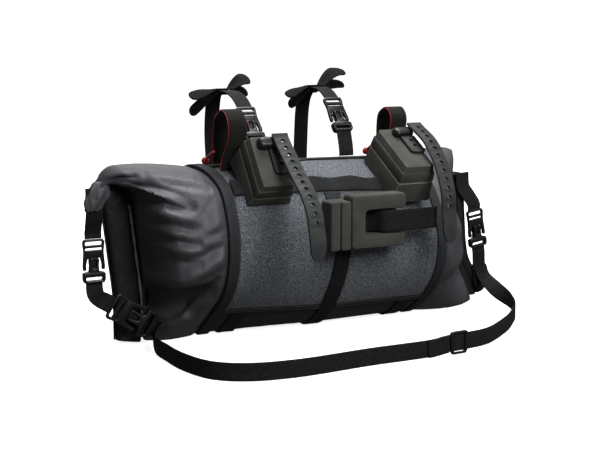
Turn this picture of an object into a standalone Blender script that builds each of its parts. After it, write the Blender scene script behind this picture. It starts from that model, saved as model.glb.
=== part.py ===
"""Handlebar bag: a dry bag with a rolled mouth at each end, held in a cloth harness.

Metres, +Z up. +X runs along the bag, -Y is the side with the two foam blocks,
and the floor under the bag is Z = 0. The origin is on the flat underside.
"""

import math

import bmesh
import bpy
from mathutils import Vector

# Bag body and its cloth
BAG_RADIUS = 0.100
HARNESS_LENGTH = 0.290
WALL = 0.002
SEAT_GAP = 0.0005
SIDES = 40
TRIM_GAP = 0.0008
LEAST_MITRE = 0.2

# Rolled ends
LEFT_END_LENGTH = 0.071
RIGHT_END_LENGTH = 0.077
LEFT_LEAN = 0.012
RIGHT_LEAN = -0.008
LEFT_HORN = 0.016
RIGHT_HORN = 0.004
RIGHT_FOOT_HORN = 0.022
ROLL_WIDTH = 0.034
ROLL_THICKNESS = 0.019

# Webbing and bindings
WEBBING_WIDTH = 0.020
WEBBING_THICKNESS = 0.0015
BINDING_WIDTH = 0.013
EDGE_BINDING_WIDTH = 0.007

# Straps over the handlebar
BAR_STRAP_LEFT_X = -0.075
BAR_STRAP_RIGHT_X = 0.050
BAR_STRAP_RISE = 0.084
BAR_STRAP_THICKNESS = 0.002
SMALL_BUCKLE_LENGTH = 0.050
SMALL_BUCKLE_WIDTH = 0.026
SMALL_BUCKLE_THICKNESS = 0.008
WING_WIDTH = 0.025
WING_LENGTH = 0.080
WING_THICKNESS = 0.002

# Hook-and-loop hanger loops and their pull cords
HANGER_WIDTH = 0.023
HANGER_THICKNESS = 0.0025
HANGER_RISE = 0.068
HANGER_LEFT_X = -0.1155
HANGER_RIGHT_X = 0.1065
PULL_CORD = 0.0026
PULL_BALL = 0.008

# Foam blocks and their rubber straps
BLOCK_WIDTH = 0.042
BLOCK_DEPTH = 0.047
BLOCK_SEAM = 0.022
BLOCK_TAPER = 0.006
BLOCK_EDGE = 0.004
RUBBER_WIDTH = 0.020
RUBBER_THICKNESS = 0.003
HOLE_PITCH = 0.0105
HOLE_SIZE = 0.0046
TAIL_HOLES = 12
KEEPER_LENGTH = 0.014
KEEPER_HEIGHT = 0.009

# Head tube pad
PAD_LEFT = -0.032
PAD_RIGHT = 0.067
PAD_BOTTOM = 0.110
PAD_TOP = 0.172
PAD_DEPTH = 0.027
PAD_SLOT_HEIGHT = 0.028
PAD_SLOT_LEFT = 0.013
PAD_SLOT_DEPTH = 0.020
PAD_GROOVE = 0.003
PAD_STRAP_WIDTH = 0.025
PAD_STRAP_END = 0.109

# Shoulder strap
SHOULDER_WIDTH = 0.020
SHOULDER_THICKNESS = 0.0018
SHOULDER_REACH = 0.218
LARGE_BUCKLE_LENGTH = 0.054
LARGE_BUCKLE_WIDTH = 0.032
LARGE_BUCKLE_THICKNESS = 0.010
GLIDE_WIDTH = 0.023
GLIDE_BAR = 0.003

HALF = HARNESS_LENGTH / 2
SOLE = TRIM_GAP + WEBBING_THICKNESS

# Outline of the bag's section as shares of BAG_RADIUS, measured from its axis
# Angle: degrees up from the front. The upper front bulges, the lower front is cut back
SECTION = [
    # angle, left binding, middle, right binding
    (-90, 1.01, 1.02, 1.02),
    (-75, 0.880, 0.990, 0.985),
    (-60, 0.825, 0.945, 0.945),
    (-45, 0.825, 0.912, 0.940),
    (-30, 0.880, 0.908, 0.960),
    (-15, 0.945, 0.930, 0.985),
    (0, 1.000, 0.980, 0.990),
    (15, 1.050, 1.025, 0.970),
    (30, 1.095, 1.065, 0.955),
    (45, 1.125, 1.085, 0.955),
    (60, 1.070, 1.060, 0.970),
    (75, 1.020, 1.045, 1.010),
    (90, 1.000, 1.030, 1.010),
    (105, 1.000, 1.020, 1.000),
    (120, 1.000, 1.010, 1.000),
    (135, 1.000, 1.000, 1.000),
    (150, 1.000, 0.990, 0.995),
    (165, 0.990, 0.985, 0.990),
    (180, 0.985, 0.985, 0.985),
    (195, 0.985, 0.985, 0.985),
    (210, 0.995, 0.995, 0.995),
    (225, 1.010, 1.010, 1.010),
    (240, 1.040, 1.040, 1.040),
    (255, 1.040, 1.040, 1.040),
]

# The end from the binding to the flat mouth. The top and foot stay wide longer than the waist
END_ROWS = [
    # along the end, its fullest and leanest waist and its crown as shares of the depth,
    # height, horn. The left end is full down to its foot, and the right one lean all round
    (0.12, 0.995, 0.990, 1.00, 1.010, 0.00),
    (0.30, 0.985, 0.930, 0.99, 1.035, 0.05),
    (0.50, 0.960, 0.760, 0.94, 1.060, 0.20),
    (0.68, 0.910, 0.500, 0.84, 1.070, 0.40),
    (0.82, 0.790, 0.280, 0.66, 1.060, 0.62),
    (0.92, 0.550, 0.150, 0.42, 1.040, 0.82),
    (1.00, 0.085, 0.085, 0.16, 1.010, 1.00),
]


def material(name, hex_colour, roughness, metallic=0.0):
    """A plain Principled material from an sRGB colour."""
    made = bpy.data.materials.new(name)
    made.use_nodes = True
    shader = made.node_tree.nodes["Principled BSDF"]
    channels = [int(hex_colour[i:i + 2], 16) / 255 for i in (0, 2, 4)]
    linear = [c / 12.92 if c <= 0.04045 else ((c + 0.055) / 1.055) ** 2.4 for c in channels]
    shader.inputs["Base Color"].default_value = (*linear, 1.0)
    shader.inputs["Roughness"].default_value = roughness
    shader.inputs["Metallic"].default_value = metallic
    return made


def make_object(name, vertices, faces, finish, smooth_angle=35):
    """One closed body from its corners and faces, with round stretches shaded smooth."""
    mesh = bpy.data.meshes.new(name)
    mesh.from_pydata([tuple(v) for v in vertices], [], faces)
    shape = bmesh.new()
    shape.from_mesh(mesh)
    bmesh.ops.recalc_face_normals(shape, faces=shape.faces)
    shape.to_mesh(mesh)
    shape.free()
    mesh.shade_smooth()
    mesh.set_sharp_from_angle(angle=math.radians(smooth_angle))
    mesh.materials.append(finish)
    made = bpy.data.objects.new(name, mesh)
    bpy.context.scene.collection.objects.link(made)
    return made


def loft(name, rings, finish, smooth_angle=35):
    """A solid through closed rings of equal count, capped at both ends."""
    count = len(rings[0])
    vertices = [point for ring in rings for point in ring]
    faces = [tuple(range(count))]
    faces.append(tuple(reversed(range(len(vertices) - count, len(vertices)))))
    for row in range(len(rings) - 1):
        for side in range(count):
            following = (side + 1) % count
            a, b = row * count + side, row * count + following
            faces.append((a, b, b + count, a + count))
    return make_object(name, vertices, faces, finish, smooth_angle)


def split(near, near_next, far, far_next, turned=False):
    """Two triangles between two rows. Their shared edge runs from near to far_next."""
    halves = [(near, near_next, far_next), (near, far_next, far)]
    return [half[::-1] for half in halves] if turned else halves


def hollow_loft(name, outer, inner, finish):
    """An open tube between two sets of closed rings, joined by a lip at each end."""
    count = len(outer[0])
    vertices = [p for ring in outer for p in ring] + [p for ring in inner for p in ring]
    inside = len(outer) * count
    faces = []
    for row in range(len(outer) - 1):
        for side in range(count):
            following = (side + 1) % count
            a, b = row * count + side, row * count + following
            faces += split(a, b, a + count, b + count)
            a, b = inside + a, inside + b
            faces += split(a, b, a + count, b + count, True)
    for row in (0, len(outer) - 1):
        for side in range(count):
            a, b = row * count + side, row * count + (side + 1) % count
            faces.append((a, b, inside + b, inside + a))
    return make_object(name, vertices, faces, finish)


def smooth_path(points, per_span):
    """A Catmull-Rom curve through the points, as tuples of any length."""
    ends = [points[0]] + list(points) + [points[-1]]
    path = []
    for i in range(1, len(ends) - 2):
        before, start, end, after = ends[i - 1:i + 3]
        for step in range(per_span):
            t = step / per_span
            path.append(tuple(
                0.5 * (2 * b + (c - a) * t + (2 * a - 5 * b + 4 * c - d) * t * t
                       + (3 * b - a - 3 * c + d) * t ** 3)
                for a, b, c, d in zip(before, start, end, after)))
    path.append(tuple(points[-1]))
    return path


def path_frames(path, across):
    """Position, width direction and normal at each point of a path."""
    frames = []
    for i, point in enumerate(path):
        ahead = Vector(path[min(i + 1, len(path) - 1)])
        behind = Vector(path[max(i - 1, 0)])
        tangent = (ahead - behind).normalized()
        wide = Vector(across[i] if isinstance(across, list) else across)
        wide = (wide - wide.dot(tangent) * tangent).normalized()
        frames.append((Vector(point), wide, wide.cross(tangent)))
    return frames


def ribbon(name, path, across, width, thickness, finish):
    """A flat band swept along a path."""
    upper, lower = [], []
    for centre, wide, normal in path_frames(path, across):
        edge, rise = wide * width / 2, normal * thickness / 2
        upper.append([centre - edge + rise, centre + edge + rise])
        lower.append([centre - edge - rise, centre + edge - rise])
    return sheet(name, upper, lower, finish)


def round_end(count, steps, least=0.35):
    """Width shares of a band with both ends rounded over a few steps."""
    shares = [1.0] * count
    for i in range(steps):
        share = max(least, math.sqrt(1 - (1 - i / steps) ** 2))
        shares[i] = share
        shares[-1 - i] = share
    return shares


def section_radius(column, index):
    """Radius at one of SIDES angles, from the 24 rows of the table and between them."""
    rows = len(SECTION)
    position = index * rows / SIDES
    row = int(position)
    t = position - row
    a, b, c, d = (SECTION[(row + k) % rows][column] for k in (-1, 0, 1, 2))
    share = 0.5 * (2 * b + (c - a) * t + (2 * a - 5 * b + 4 * c - d) * t * t
                   + (3 * b - a - 3 * c + d) * t ** 3)
    return share * BAG_RADIUS


def raw_section(x, floor):
    """The bag's outline at x, resting flat where it would sink below the floor height."""
    share = max(-1.0, min(1.0, x / HALF))
    column, blend = (1, -share) if share < 0 else (3, share)
    points = []
    for index in range(SIDES):
        angle = math.radians(-90 + 360 * index / SIDES)
        radius = (section_radius(2, index) * (1 - blend) + section_radius(column, index) * blend)
        points.append((-radius * math.cos(angle),
                       max(floor, BAG_RADIUS + radius * math.sin(angle))))
    return points


def offset_outline(points, distance):
    """The outline moved outward by a distance, with mitred corners."""
    moved = []
    count = len(points)
    for i, (y, z) in enumerate(points):
        normals = []
        for a, b in ((points[i - 1], (y, z)), ((y, z), points[(i + 1) % count])):
            along = (b[0] - a[0], b[1] - a[1])
            length = math.hypot(*along) or 1.0
            normals.append((-along[1] / length, along[0] / length))
        (ny, nz), (my, mz) = normals
        mitre = max(LEAST_MITRE, 1 + ny * my + nz * mz)
        moved.append((y + (ny + my) / mitre * distance, z + (nz + mz) / mitre * distance))
    return moved


def skin_outline(x, lift):
    """The harness outline at x, lifted outward."""
    return offset_outline(raw_section(x, SOLE), lift)


def skin_point(x, angle, lift):
    """A point over the harness at an angle up from the front."""
    outline = skin_outline(x, lift)
    position = (angle + 90) % 360 * SIDES / 360
    index = int(position) % SIDES
    t = position - int(position)
    (y0, z0), (y1, z1) = outline[index], outline[(index + 1) % SIDES]
    return Vector((x, y0 + (y1 - y0) * t, z0 + (z1 - z0) * t))


def top_height(x, y, lift):
    """Height of the harness' upper side at a place, lifted outward."""
    outline = skin_outline(x, lift)
    best = 0.0
    for (y0, z0), (y1, z1) in zip(outline, outline[1:] + outline[:1]):
        if min(y0, y1) <= y <= max(y0, y1) and y1 != y0:
            best = max(best, z0 + (z1 - z0) * (y - y0) / (y1 - y0))
    return best


def sheet(name, outer, inner, finish):
    """A closed sheet between two grids of points, as rows of equal count."""
    vertices = [p for far, near in zip(outer, inner) for p in far + near[::-1]]
    count = len(outer[0])
    around = 2 * count
    faces = []
    for row in range(len(outer) - 1):
        for side in range(around):
            a, b = row * around + side, row * around + (side + 1) % around
            if side < count:
                faces += split(a, b, a + around, b + around)
            else:
                faces += split(b, a, b + around, a + around, True)
    for row in (0, len(outer) - 1):
        for side in range(count - 1):
            a = row * around + side
            b = row * around + around - 1 - side
            faces.append((a, a + 1, b - 1, b))
    return make_object(name, vertices, faces, finish)


def patch(name, stations, start, end, lift, thickness, finish):
    """A sheet that lies on the harness between two angles, or right round it."""
    step = 360 / SIDES
    whole = end - start >= 360
    first = math.floor(start / step) + 1
    last = math.ceil(end / step) - 1
    angles = [start] + [k * step for k in range(first, last + 1)] + ([] if whole else [end])
    outer = [[skin_point(x, a, lift + thickness) for a in angles] for x in stations]
    inner = [[skin_point(x, a, lift) for a in angles] for x in stations]
    if whole:
        return hollow_loft(name, outer, inner, finish)
    return sheet(name, outer, inner, finish)


def spread(start, end, count):
    """Evenly spaced stations from start to end."""
    return [start + (end - start) * i / count for i in range(count + 1)]


def ease(value, low, high):
    """0 below low, 1 above high and a smooth rise between."""
    t = max(0.0, min(1.0, (value - low) / (high - low)))
    return t * t * (3 - 2 * t)


for old in list(bpy.data.objects):
    bpy.data.objects.remove(old, do_unlink=True)

coated_cloth = material("coated_cloth", "26272a", 0.42)
grey_cloth = material("speckled_cloth", "5d6470", 0.85)
black_cloth = material("black_cloth", "1c1d1f", 0.75)
webbing = material("webbing", "202123", 0.80)
buckle_plastic = material("buckle_plastic", "1b1c1d", 0.45)
foam = material("foam", "494945", 0.90)
rubber = material("rubber", "3a3b3b", 0.60)
red_cord = material("red_cord", "c22030", 0.60)

# Layers from the axis outward: dry bag, harness cloth, bindings and webbing
CLOTH_LIFT = -WALL
BAG_LIFT = CLOTH_LIFT - SEAT_GAP
TRIM_LIFT = TRIM_GAP
TRIM_TOP = TRIM_LIFT + WEBBING_THICKNESS
OVER_TRIM = TRIM_TOP + SEAT_GAP


# Dry bag
CLOTH_SPANS = 6
ENDS = {
    # side: length, lean of the mouth over its height, horn at the top, horn at the foot
    -1: (LEFT_END_LENGTH, LEFT_LEAN, LEFT_HORN, LEFT_HORN / 4),
    1: (RIGHT_END_LENGTH, RIGHT_LEAN, RIGHT_HORN, RIGHT_FOOT_HORN),
}


def mouth_reach(side, height, along=1.0, horn=1.0):
    """How far the cloth reaches from the middle at a height, on its way to the mouth."""
    length, lean, top_horn, foot_horn = ENDS[side]
    rise = (height - BAG_RADIUS) / BAG_RADIUS
    corner = top_horn * ease(rise, 0.72, 1.0) + foot_horn * ease(-rise, 0.36, 1.0)
    return HALF + along * (length + lean * rise) + corner * horn


def end_ring(side, index, inset):
    """One ring of an end: the binding's outline drawn in towards the flat mouth. The inside
    also stands back along the bag where the cloth turns across it."""
    along, full, lean, crown, height, horn = END_ROWS[index]
    column = 1 if side < 0 else 2
    before, after = END_ROWS[max(0, index - 1)], END_ROWS[min(index + 1, len(END_ROWS) - 1)]
    fall = (before[column] - after[column]) * BAG_RADIUS
    back = side * inset * fall / math.hypot(fall, (after[0] - before[0]) * ENDS[side][0])
    outline = []
    for y, z in raw_section(side * HALF, 0.0):
        rise = (z - BAG_RADIUS) / BAG_RADIUS
        waist = lean if side > 0 else full + (lean - full) * ease(-rise, 0.15, 0.55)
        depth = waist + (crown - waist) * ease(abs(rise), 0.55, 1.0)
        lifted = BAG_RADIUS * (1 + rise * height)
        outline.append((y * depth, max(0.0, lifted)))
    ring = []
    for (y, z), (_, height_outside) in zip(offset_outline(outline, -inset), outline):
        reach = side * mouth_reach(side, height_outside, along, horn)
        ring.append(Vector((reach - back, y, z)))
    return ring


def dry_bag_rings(depth):
    """Rings from the left mouth to the right one. depth is 0 outside and WALL inside."""
    rows = range(len(END_ROWS))
    rings = [end_ring(-1, index, depth) for index in reversed(rows)]
    for x in spread(-HALF, HALF, CLOTH_SPANS):
        outline = offset_outline(raw_section(x, SOLE), BAG_LIFT - depth)
        rings.append([Vector((x, y, z)) for y, z in outline])
    rings += [end_ring(1, index, depth) for index in rows]
    return rings


hollow_loft("dry_bag", dry_bag_rings(0.0), dry_bag_rings(WALL), coated_cloth)

# Harness cloth: grey in front and on top, plain black below and behind
GREY_START, GREY_END = -46.0, 80.0
SEAM_ANGLE = 0.4
cloth_stations = spread(-HALF, HALF, CLOTH_SPANS)
patch("grey_panel", cloth_stations, GREY_START, GREY_END, CLOTH_LIFT, WALL, grey_cloth)
patch("base_panel", cloth_stations, -130.0, GREY_START - SEAM_ANGLE, CLOTH_LIFT, WALL, black_cloth)
patch("back_panel", cloth_stations, GREY_END + SEAM_ANGLE, 230.0 - SEAM_ANGLE, CLOTH_LIFT, WALL,
      black_cloth)

# Bindings round the harness ends and along the grey cloth
for side, label in ((-1, "left"), (1, "right")):
    near, far = side * (HALF - BINDING_WIDTH), side * (HALF - 0.0004)
    patch("binding_" + label, sorted((near, far)), -90.0, 270.0, TRIM_LIFT, WEBBING_THICKNESS,
          webbing)
inner_end = HALF - BINDING_WIDTH - SEAT_GAP
trim_stations = spread(-inner_end, inner_end, CLOTH_SPANS)
EDGE_SPAN = math.degrees(EDGE_BINDING_WIDTH / BAG_RADIUS)
patch("top_edge_binding", trim_stations, GREY_END - EDGE_SPAN / 2, GREY_END + EDGE_SPAN / 2,
      TRIM_LIFT, WEBBING_THICKNESS, webbing)
patch("base_edge_binding_left", spread(-inner_end, -WEBBING_WIDTH / 2 - SEAT_GAP, 3),
      GREY_START - EDGE_SPAN, GREY_START, TRIM_LIFT, WEBBING_THICKNESS, webbing)
patch("base_edge_binding_right", spread(WEBBING_WIDTH / 2 + SEAT_GAP, inner_end, 3),
      GREY_START - EDGE_SPAN, GREY_START, TRIM_LIFT, WEBBING_THICKNESS, webbing)

# Webbing sewn on the harness
WEBBING_SPAN = math.degrees(WEBBING_WIDTH / (BAG_RADIUS * 1.09))
DAISY_ANGLE = 46.5
centre_half = WEBBING_WIDTH / 2
patch("daisy_webbing", trim_stations, DAISY_ANGLE - WEBBING_SPAN / 2,
      DAISY_ANGLE + WEBBING_SPAN / 2, TRIM_LIFT, WEBBING_THICKNESS, webbing)
TAB_SPAN = 6.0
patch("webbing_tab", [-0.016, 0.004], DAISY_ANGLE - WEBBING_SPAN / 2 - TAB_SPAN - SEAM_ANGLE,
      DAISY_ANGLE - WEBBING_SPAN / 2 - SEAM_ANGLE, TRIM_LIFT, WEBBING_THICKNESS, webbing)
patch("centre_webbing", [-centre_half, centre_half], -118.0, 25.0, TRIM_LIFT,
      WEBBING_THICKNESS, webbing)
for label, x in (("left", -0.110), ("right", 0.112)):
    patch("base_strap_" + label, [x - centre_half, x + centre_half], -118.0,
          GREY_START - EDGE_SPAN - SEAM_ANGLE, TRIM_LIFT, WEBBING_THICKNESS, webbing)


# Rolled mouths
def roll_section(centre, wide, rise):
    """A flat oval across the roll."""
    flat = ROLL_WIDTH / 2 - ROLL_THICKNESS / 2
    ring = []
    for k in range(12):
        angle = math.radians(15 + 30 * k)
        shift = flat if math.cos(angle) > 0 else -flat
        ring.append(centre + wide * (shift + ROLL_THICKNESS / 2 * math.cos(angle))
                    + rise * ROLL_THICKNESS / 2 * math.sin(angle))
    return ring


def roll(label, side, depth, y, turned, route):
    """The mouth rolled to a bar along a route of (out by depth, height by the bag's diameter)."""
    path = []
    for out, up in route:
        height = up * 2 * BAG_RADIUS
        reach = mouth_reach(side, height) + SEAT_GAP + out * depth
        path.append((side * reach, y, height))
    path = smooth_path(path, 2)
    rings = []
    for centre, across, normal in path_frames(path, (0, 1, 0)):
        rings.append(roll_section(centre, across, normal) if turned
                     else roll_section(centre, normal, across))
    loft("roll_" + label, rings, coated_cloth)
    return path[0], path[-1]


# The left roll stands out flat, its top end bent outward. The right one is folded to the back
left_foot, left_horn = roll("left", -1, ROLL_WIDTH, 0.0, False, [
    (0.57, 0.036), (0.55, 0.10), (0.52, 0.28), (0.51, 0.50), (0.51, 0.66), (0.56, 0.78),
    (0.76, 0.865), (1.00, 0.885)])
ROLL_FOLD = 0.007
right_foot, right_horn = roll("right", 1, ROLL_THICKNESS, ROLL_FOLD, True, [
    (0.92, 0.065), (0.90, 0.15), (0.70, 0.26), (0.55, 0.38), (0.52, 0.56), (0.53, 0.74),
    (0.56, 0.86)])


# Side-release buckles
def buckle(label, centre, along, across, length, width, thickness):
    """A fastened buckle in two pieces: a socket with open sides, and a plug with two arms."""
    axis = Vector(along).normalized()
    wide = Vector(across)
    wide = (wide - wide.dot(axis) * axis).normalized()
    rise = wide.cross(axis)
    middle = Vector(centre)
    arm = width * 0.16
    gap = SEAT_GAP
    half = width / 2
    split = -0.10 * length
    socket = [
        # along, across: the two sides are cut back where the arms lie
        (0.50 * length, 0.86 * half), (0.50 * length, -0.86 * half), (0.44 * length, -half),
        (0.26 * length, -half), (0.22 * length, -half + arm + gap), (split, -half + arm + gap),
        (split, half - arm - gap), (0.22 * length, half - arm - gap), (0.26 * length, half),
        (0.44 * length, half),
    ]
    plug = [
        (split - gap, half - arm), (0.20 * length, half - arm), (0.225 * length, half),
        (0.10 * length, half), (-0.20 * length, 0.90 * half), (-0.44 * length, half),
        (-0.50 * length, 0.86 * half), (-0.50 * length, -0.86 * half),
        (-0.44 * length, -half), (-0.20 * length, -0.90 * half), (0.10 * length, -half),
        (0.225 * length, -half), (0.20 * length, -half + arm), (split - gap, -half + arm),
    ]
    for name, outline, depth in (("socket", socket, thickness), ("plug", plug, thickness * 0.7)):
        rings = [[middle + axis * a + wide * c + rise * level for a, c in outline]
                 for level in (-depth / 2, depth / 2)]
        loft(label + "_" + name, rings, buckle_plastic, 30)


# Straps over the handlebar
bag_top = 2 * BAG_RADIUS
strap_back = BAG_RADIUS + SEAT_GAP + BAR_STRAP_THICKNESS
BAR_PATHS = {
    # depth from back to front as share of the strap's span, height over the bag as share of rise
    "left": ([(0.00, -0.10), (-0.02, 0.38), (0.02, 0.78), (0.08, 0.93), (0.28, 0.985), (0.50, 0.98),
              (0.66, 0.90), (0.765, 0.79)],
             [(1.00, 0.36), (1.03, 0.22)], BAR_STRAP_LEFT_X),
    "right": ([(0.00, -0.10), (0.02, 0.38), (0.05, 0.70), (0.12, 0.90), (0.27, 1.00), (0.45, 1.01),
               (0.57, 0.965), (0.665, 0.88)],
              [(0.92, 0.40), (0.97, 0.22)], BAR_STRAP_RIGHT_X),
}
STRAP_SPAN = 1.25 * BAG_RADIUS
bar_paths = {}
for label, (upper, lower, x) in BAR_PATHS.items():
    def place(depth, rise, at=x):
        """A point of the strap's side view."""
        return at, strap_back - depth * STRAP_SPAN, bag_top + rise * BAR_STRAP_RISE

    sewn_back = [tuple(skin_point(x, angle, TRIM_LIFT + BAR_STRAP_THICKNESS / 2))
                 for angle in (187.5, 180.0, 172.5)]
    rising = [place(0.0, -0.75), place(0.0, -0.42)]
    path = smooth_path(sewn_back + rising + [place(*p) for p in upper], 3)
    bar_paths[label] = path_frames(path, (1, 0, 0))
    ribbon("bar_strap_" + label, path, (1, 0, 0), WEBBING_WIDTH, BAR_STRAP_THICKNESS, webbing)
    top, foot = Vector(place(*upper[-1])), Vector(place(*lower[0]))
    along = (foot - top).normalized()
    reach = SMALL_BUCKLE_LENGTH / 2 + SEAT_GAP
    buckle("bar_buckle_" + label, top + along * reach, along, (1, 0, 0),
           SMALL_BUCKLE_LENGTH, SMALL_BUCKLE_WIDTH, SMALL_BUCKLE_THICKNESS)
    out = top + along * (2 * reach)
    sew_y = out.y - 0.006
    sewn = Vector((x, sew_y, top_height(x, sew_y, OVER_TRIM) + BAR_STRAP_THICKNESS / 2))
    bend = sewn + Vector((0, 0.001, 0.010))
    ribbon("bar_strap_end_" + label, smooth_path([tuple(out), tuple(bend), tuple(sewn)], 3),
           (1, 0, 0), WEBBING_WIDTH, BAR_STRAP_THICKNESS, webbing)

# Grip wings across the top of each bar strap
WINGS = {
    # strap, then shares: place on the strap, left reach, droop, right reach and rise
    "left_upper": ("left", 0.24, 0.53, 0.34, 0.47, 0.52),
    "left_lower": ("left", 0.24, 0.54, 0.95, 0.42, 0.10),
    "right_upper": ("right", 0.27, 0.48, 0.45, 0.58, 0.78),
    "right_lower": ("right", 0.27, 0.45, 0.80, 0.55, 0.34),
}
WING_FLAT = 0.5 * WEBBING_WIDTH / WING_LENGTH + 0.015
WING_TILT = 0.5


def strap_at(frames, distance):
    """Position and normal at a distance along a strap, from its frames."""
    for (here, _, normal), (there, _, following) in zip(frames, frames[1:]):
        length = (there - here).length
        if distance <= length:
            share = distance / length
            return here.lerp(there, share), normal.lerp(following, share).normalized()
        distance -= length
    return frames[-1][0], frames[-1][2]


def distance_to(frames, y):
    """How far along a strap its upper side first passes a depth."""
    travelled = 0.0
    for (here, _, _), (there, _, _) in zip(frames, frames[1:]):
        length = (there - here).length
        if here.z > bag_top + BAR_STRAP_RISE / 2 and here.y >= y >= there.y:
            return travelled + length * (here.y - y) / (here.y - there.y)
        travelled += length
    return travelled


for label, (strap, depth, left, droop, right, rise) in WINGS.items():
    frames = bar_paths[strap]
    crossing = distance_to(frames, strap_back - depth * STRAP_SPAN)
    seat = (BAR_STRAP_THICKNESS + WING_THICKNESS) / 2 + SEAT_GAP
    level = -seat if label.endswith("lower") else seat
    span = spread(-left, -WING_FLAT, 5) + spread(WING_FLAT, right, 5)
    tops, bottoms = [], []
    for across, share in zip(span, round_end(len(span), 2)):
        reach = left if across < 0 else right
        t = max(0.0, (abs(across) - WING_FLAT) / (reach - WING_FLAT))
        lift = -droop * t ** 1.5 if across < 0 else rise * t * (2 - t)
        top_row, bottom_row = [], []
        for k in range(-2, 3):
            along = k / 4 * WING_WIDTH * share
            centre, inward = strap_at(frames, crossing + along)
            centre = centre + Vector((across * WING_LENGTH, 0, 0))
            height = level + lift * WING_WIDTH - along * WING_TILT * t
            top_row.append(centre - inward * (height + WING_THICKNESS / 2))
            bottom_row.append(centre - inward * (height - WING_THICKNESS / 2))
        tops.append(top_row)
        bottoms.append(bottom_row)
    sheet("grip_wing_" + label, tops, bottoms, webbing)

# Hook-and-loop hangers that stand on the bag behind the blocks
HANGERS = {
    # depth from the back foot to the front as share of HANGER_DEPTH, height as share of rise
    "left": (HANGER_LEFT_X, -0.016,
             [(0.00, 0.10), (0.02, 0.28), (0.03, 0.52), (0.14, 0.82), (0.60, 0.98), (0.95, 0.84),
              (1.00, 0.54), (0.74, 0.31), (0.54, 0.13)]),
    "right": (HANGER_RIGHT_X, -0.010,
              [(0.02, 0.08), (0.09, 0.22), (0.11, 0.60), (0.20, 0.80), (0.55, 0.91), (0.80, 0.80),
               (0.82, 0.60), (0.58, 0.27), (0.40, 0.10)]),
}
HANGER_DEPTH = 0.045
PULL_ROUTE = [(0.004, 0.020), (0.016, 0.014), (0.026, 0.008)]
FOOT_MARGIN = 1.5
hanger_paths = {}
for label, (x, back, route) in HANGERS.items():
    def foot(share, at=x, y0=back):
        """A point of the hanger where it is sewn to the cloth, or over the top binding."""
        y = y0 - share * HANGER_DEPTH
        cloth = top_height(at, y, 0.0)
        angle = math.degrees(math.atan2(cloth - BAG_RADIUS, -y))
        over_binding = abs(angle - GREY_END) < EDGE_SPAN / 2 + FOOT_MARGIN
        return at, y, cloth + TRIM_GAP + (TRIM_TOP if over_binding else 0.0)

    base = top_height(x, back, 0.0)
    path = [foot(route[0][0])]
    path += [(x, back - d * HANGER_DEPTH, base + rise * HANGER_RISE) for d, rise in route]
    path.append(foot(route[-1][0] - 0.06))
    hanger_paths[label] = smooth_path(path, 3)
    ribbon("hanger_loop_" + label, hanger_paths[label], (1, 0, 0), HANGER_WIDTH,
           HANGER_THICKNESS, webbing)
    side_x = x - HANGER_WIDTH / 2 - SEAT_GAP - PULL_CORD / 2
    cord = []
    for y_step, height in PULL_ROUTE:
        y = back - HANGER_DEPTH * 0.3 + y_step
        cord.append((side_x, y, top_height(side_x, y, OVER_TRIM) + height - 0.003))
    cord = smooth_path(cord, 3)
    radii = [PULL_CORD / 2] * len(cord)
    for k, share in enumerate((0.6, 0.95, 1.0, 0.75, 0.3)):
        radii.append(PULL_BALL / 2 * share)
        last, before = Vector(cord[-1]), Vector(cord[-2])
        step = (last - before).normalized() * PULL_BALL / 5
        cord.append(tuple(last + step))
    rings = []
    for (centre, wide, normal), radius in zip(path_frames(cord, (1, 0, 0)), radii):
        rings.append([centre + wide * radius * math.cos(math.radians(45 * k))
                      + normal * radius * math.sin(math.radians(45 * k)) for k in range(8)])
    loft("red_pull_" + label, rings, red_cord, 60)


# Foam blocks
class Tilted:
    """The plane system of one block: out from the bag's axis, up its face, and across."""

    def __init__(self, degrees):
        angle = math.radians(degrees)
        self.out = Vector((0, -math.cos(angle), math.sin(angle)))
        self.up = Vector((0, math.sin(angle), math.cos(angle)))

    def at(self, x, out, up):
        return Vector((x, 0, BAG_RADIUS)) + self.out * out + self.up * up

    def under(self, path, clearance):
        """How far up the face may reach below the front leg of a hanger."""
        tops = []
        for point in path[len(path) // 2:]:
            place = Vector(point) - Vector((point[0], 0, BAG_RADIUS))
            out = place.dot(self.out)
            if REAR <= out <= FACE:
                tops.append(place.dot(self.up) + BLOCK_TAPER * (FACE - out) / BLOCK_DEPTH / 2)
        return min(tops) - clearance


def boxed(name, low, high, finish):
    """A straight-sided solid between two rectangles of four corners."""
    return loft(name, [low, high], finish, 30)


def bevel(piece, width, segments):
    """Rounded edges of one piece."""
    rounding = piece.modifiers.new("rounding", "BEVEL")
    rounding.width = width
    rounding.segments = segments
    rounding.limit_method = "ANGLE"


def cut(piece, cutter):
    """Takes the cutter's shape out of a piece."""
    cutter.hide_render = True
    cutter.display_type = "WIRE"
    hollow = piece.modifiers.new("cut", "BOOLEAN")
    hollow.operation = "DIFFERENCE"
    hollow.object = cutter


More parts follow.
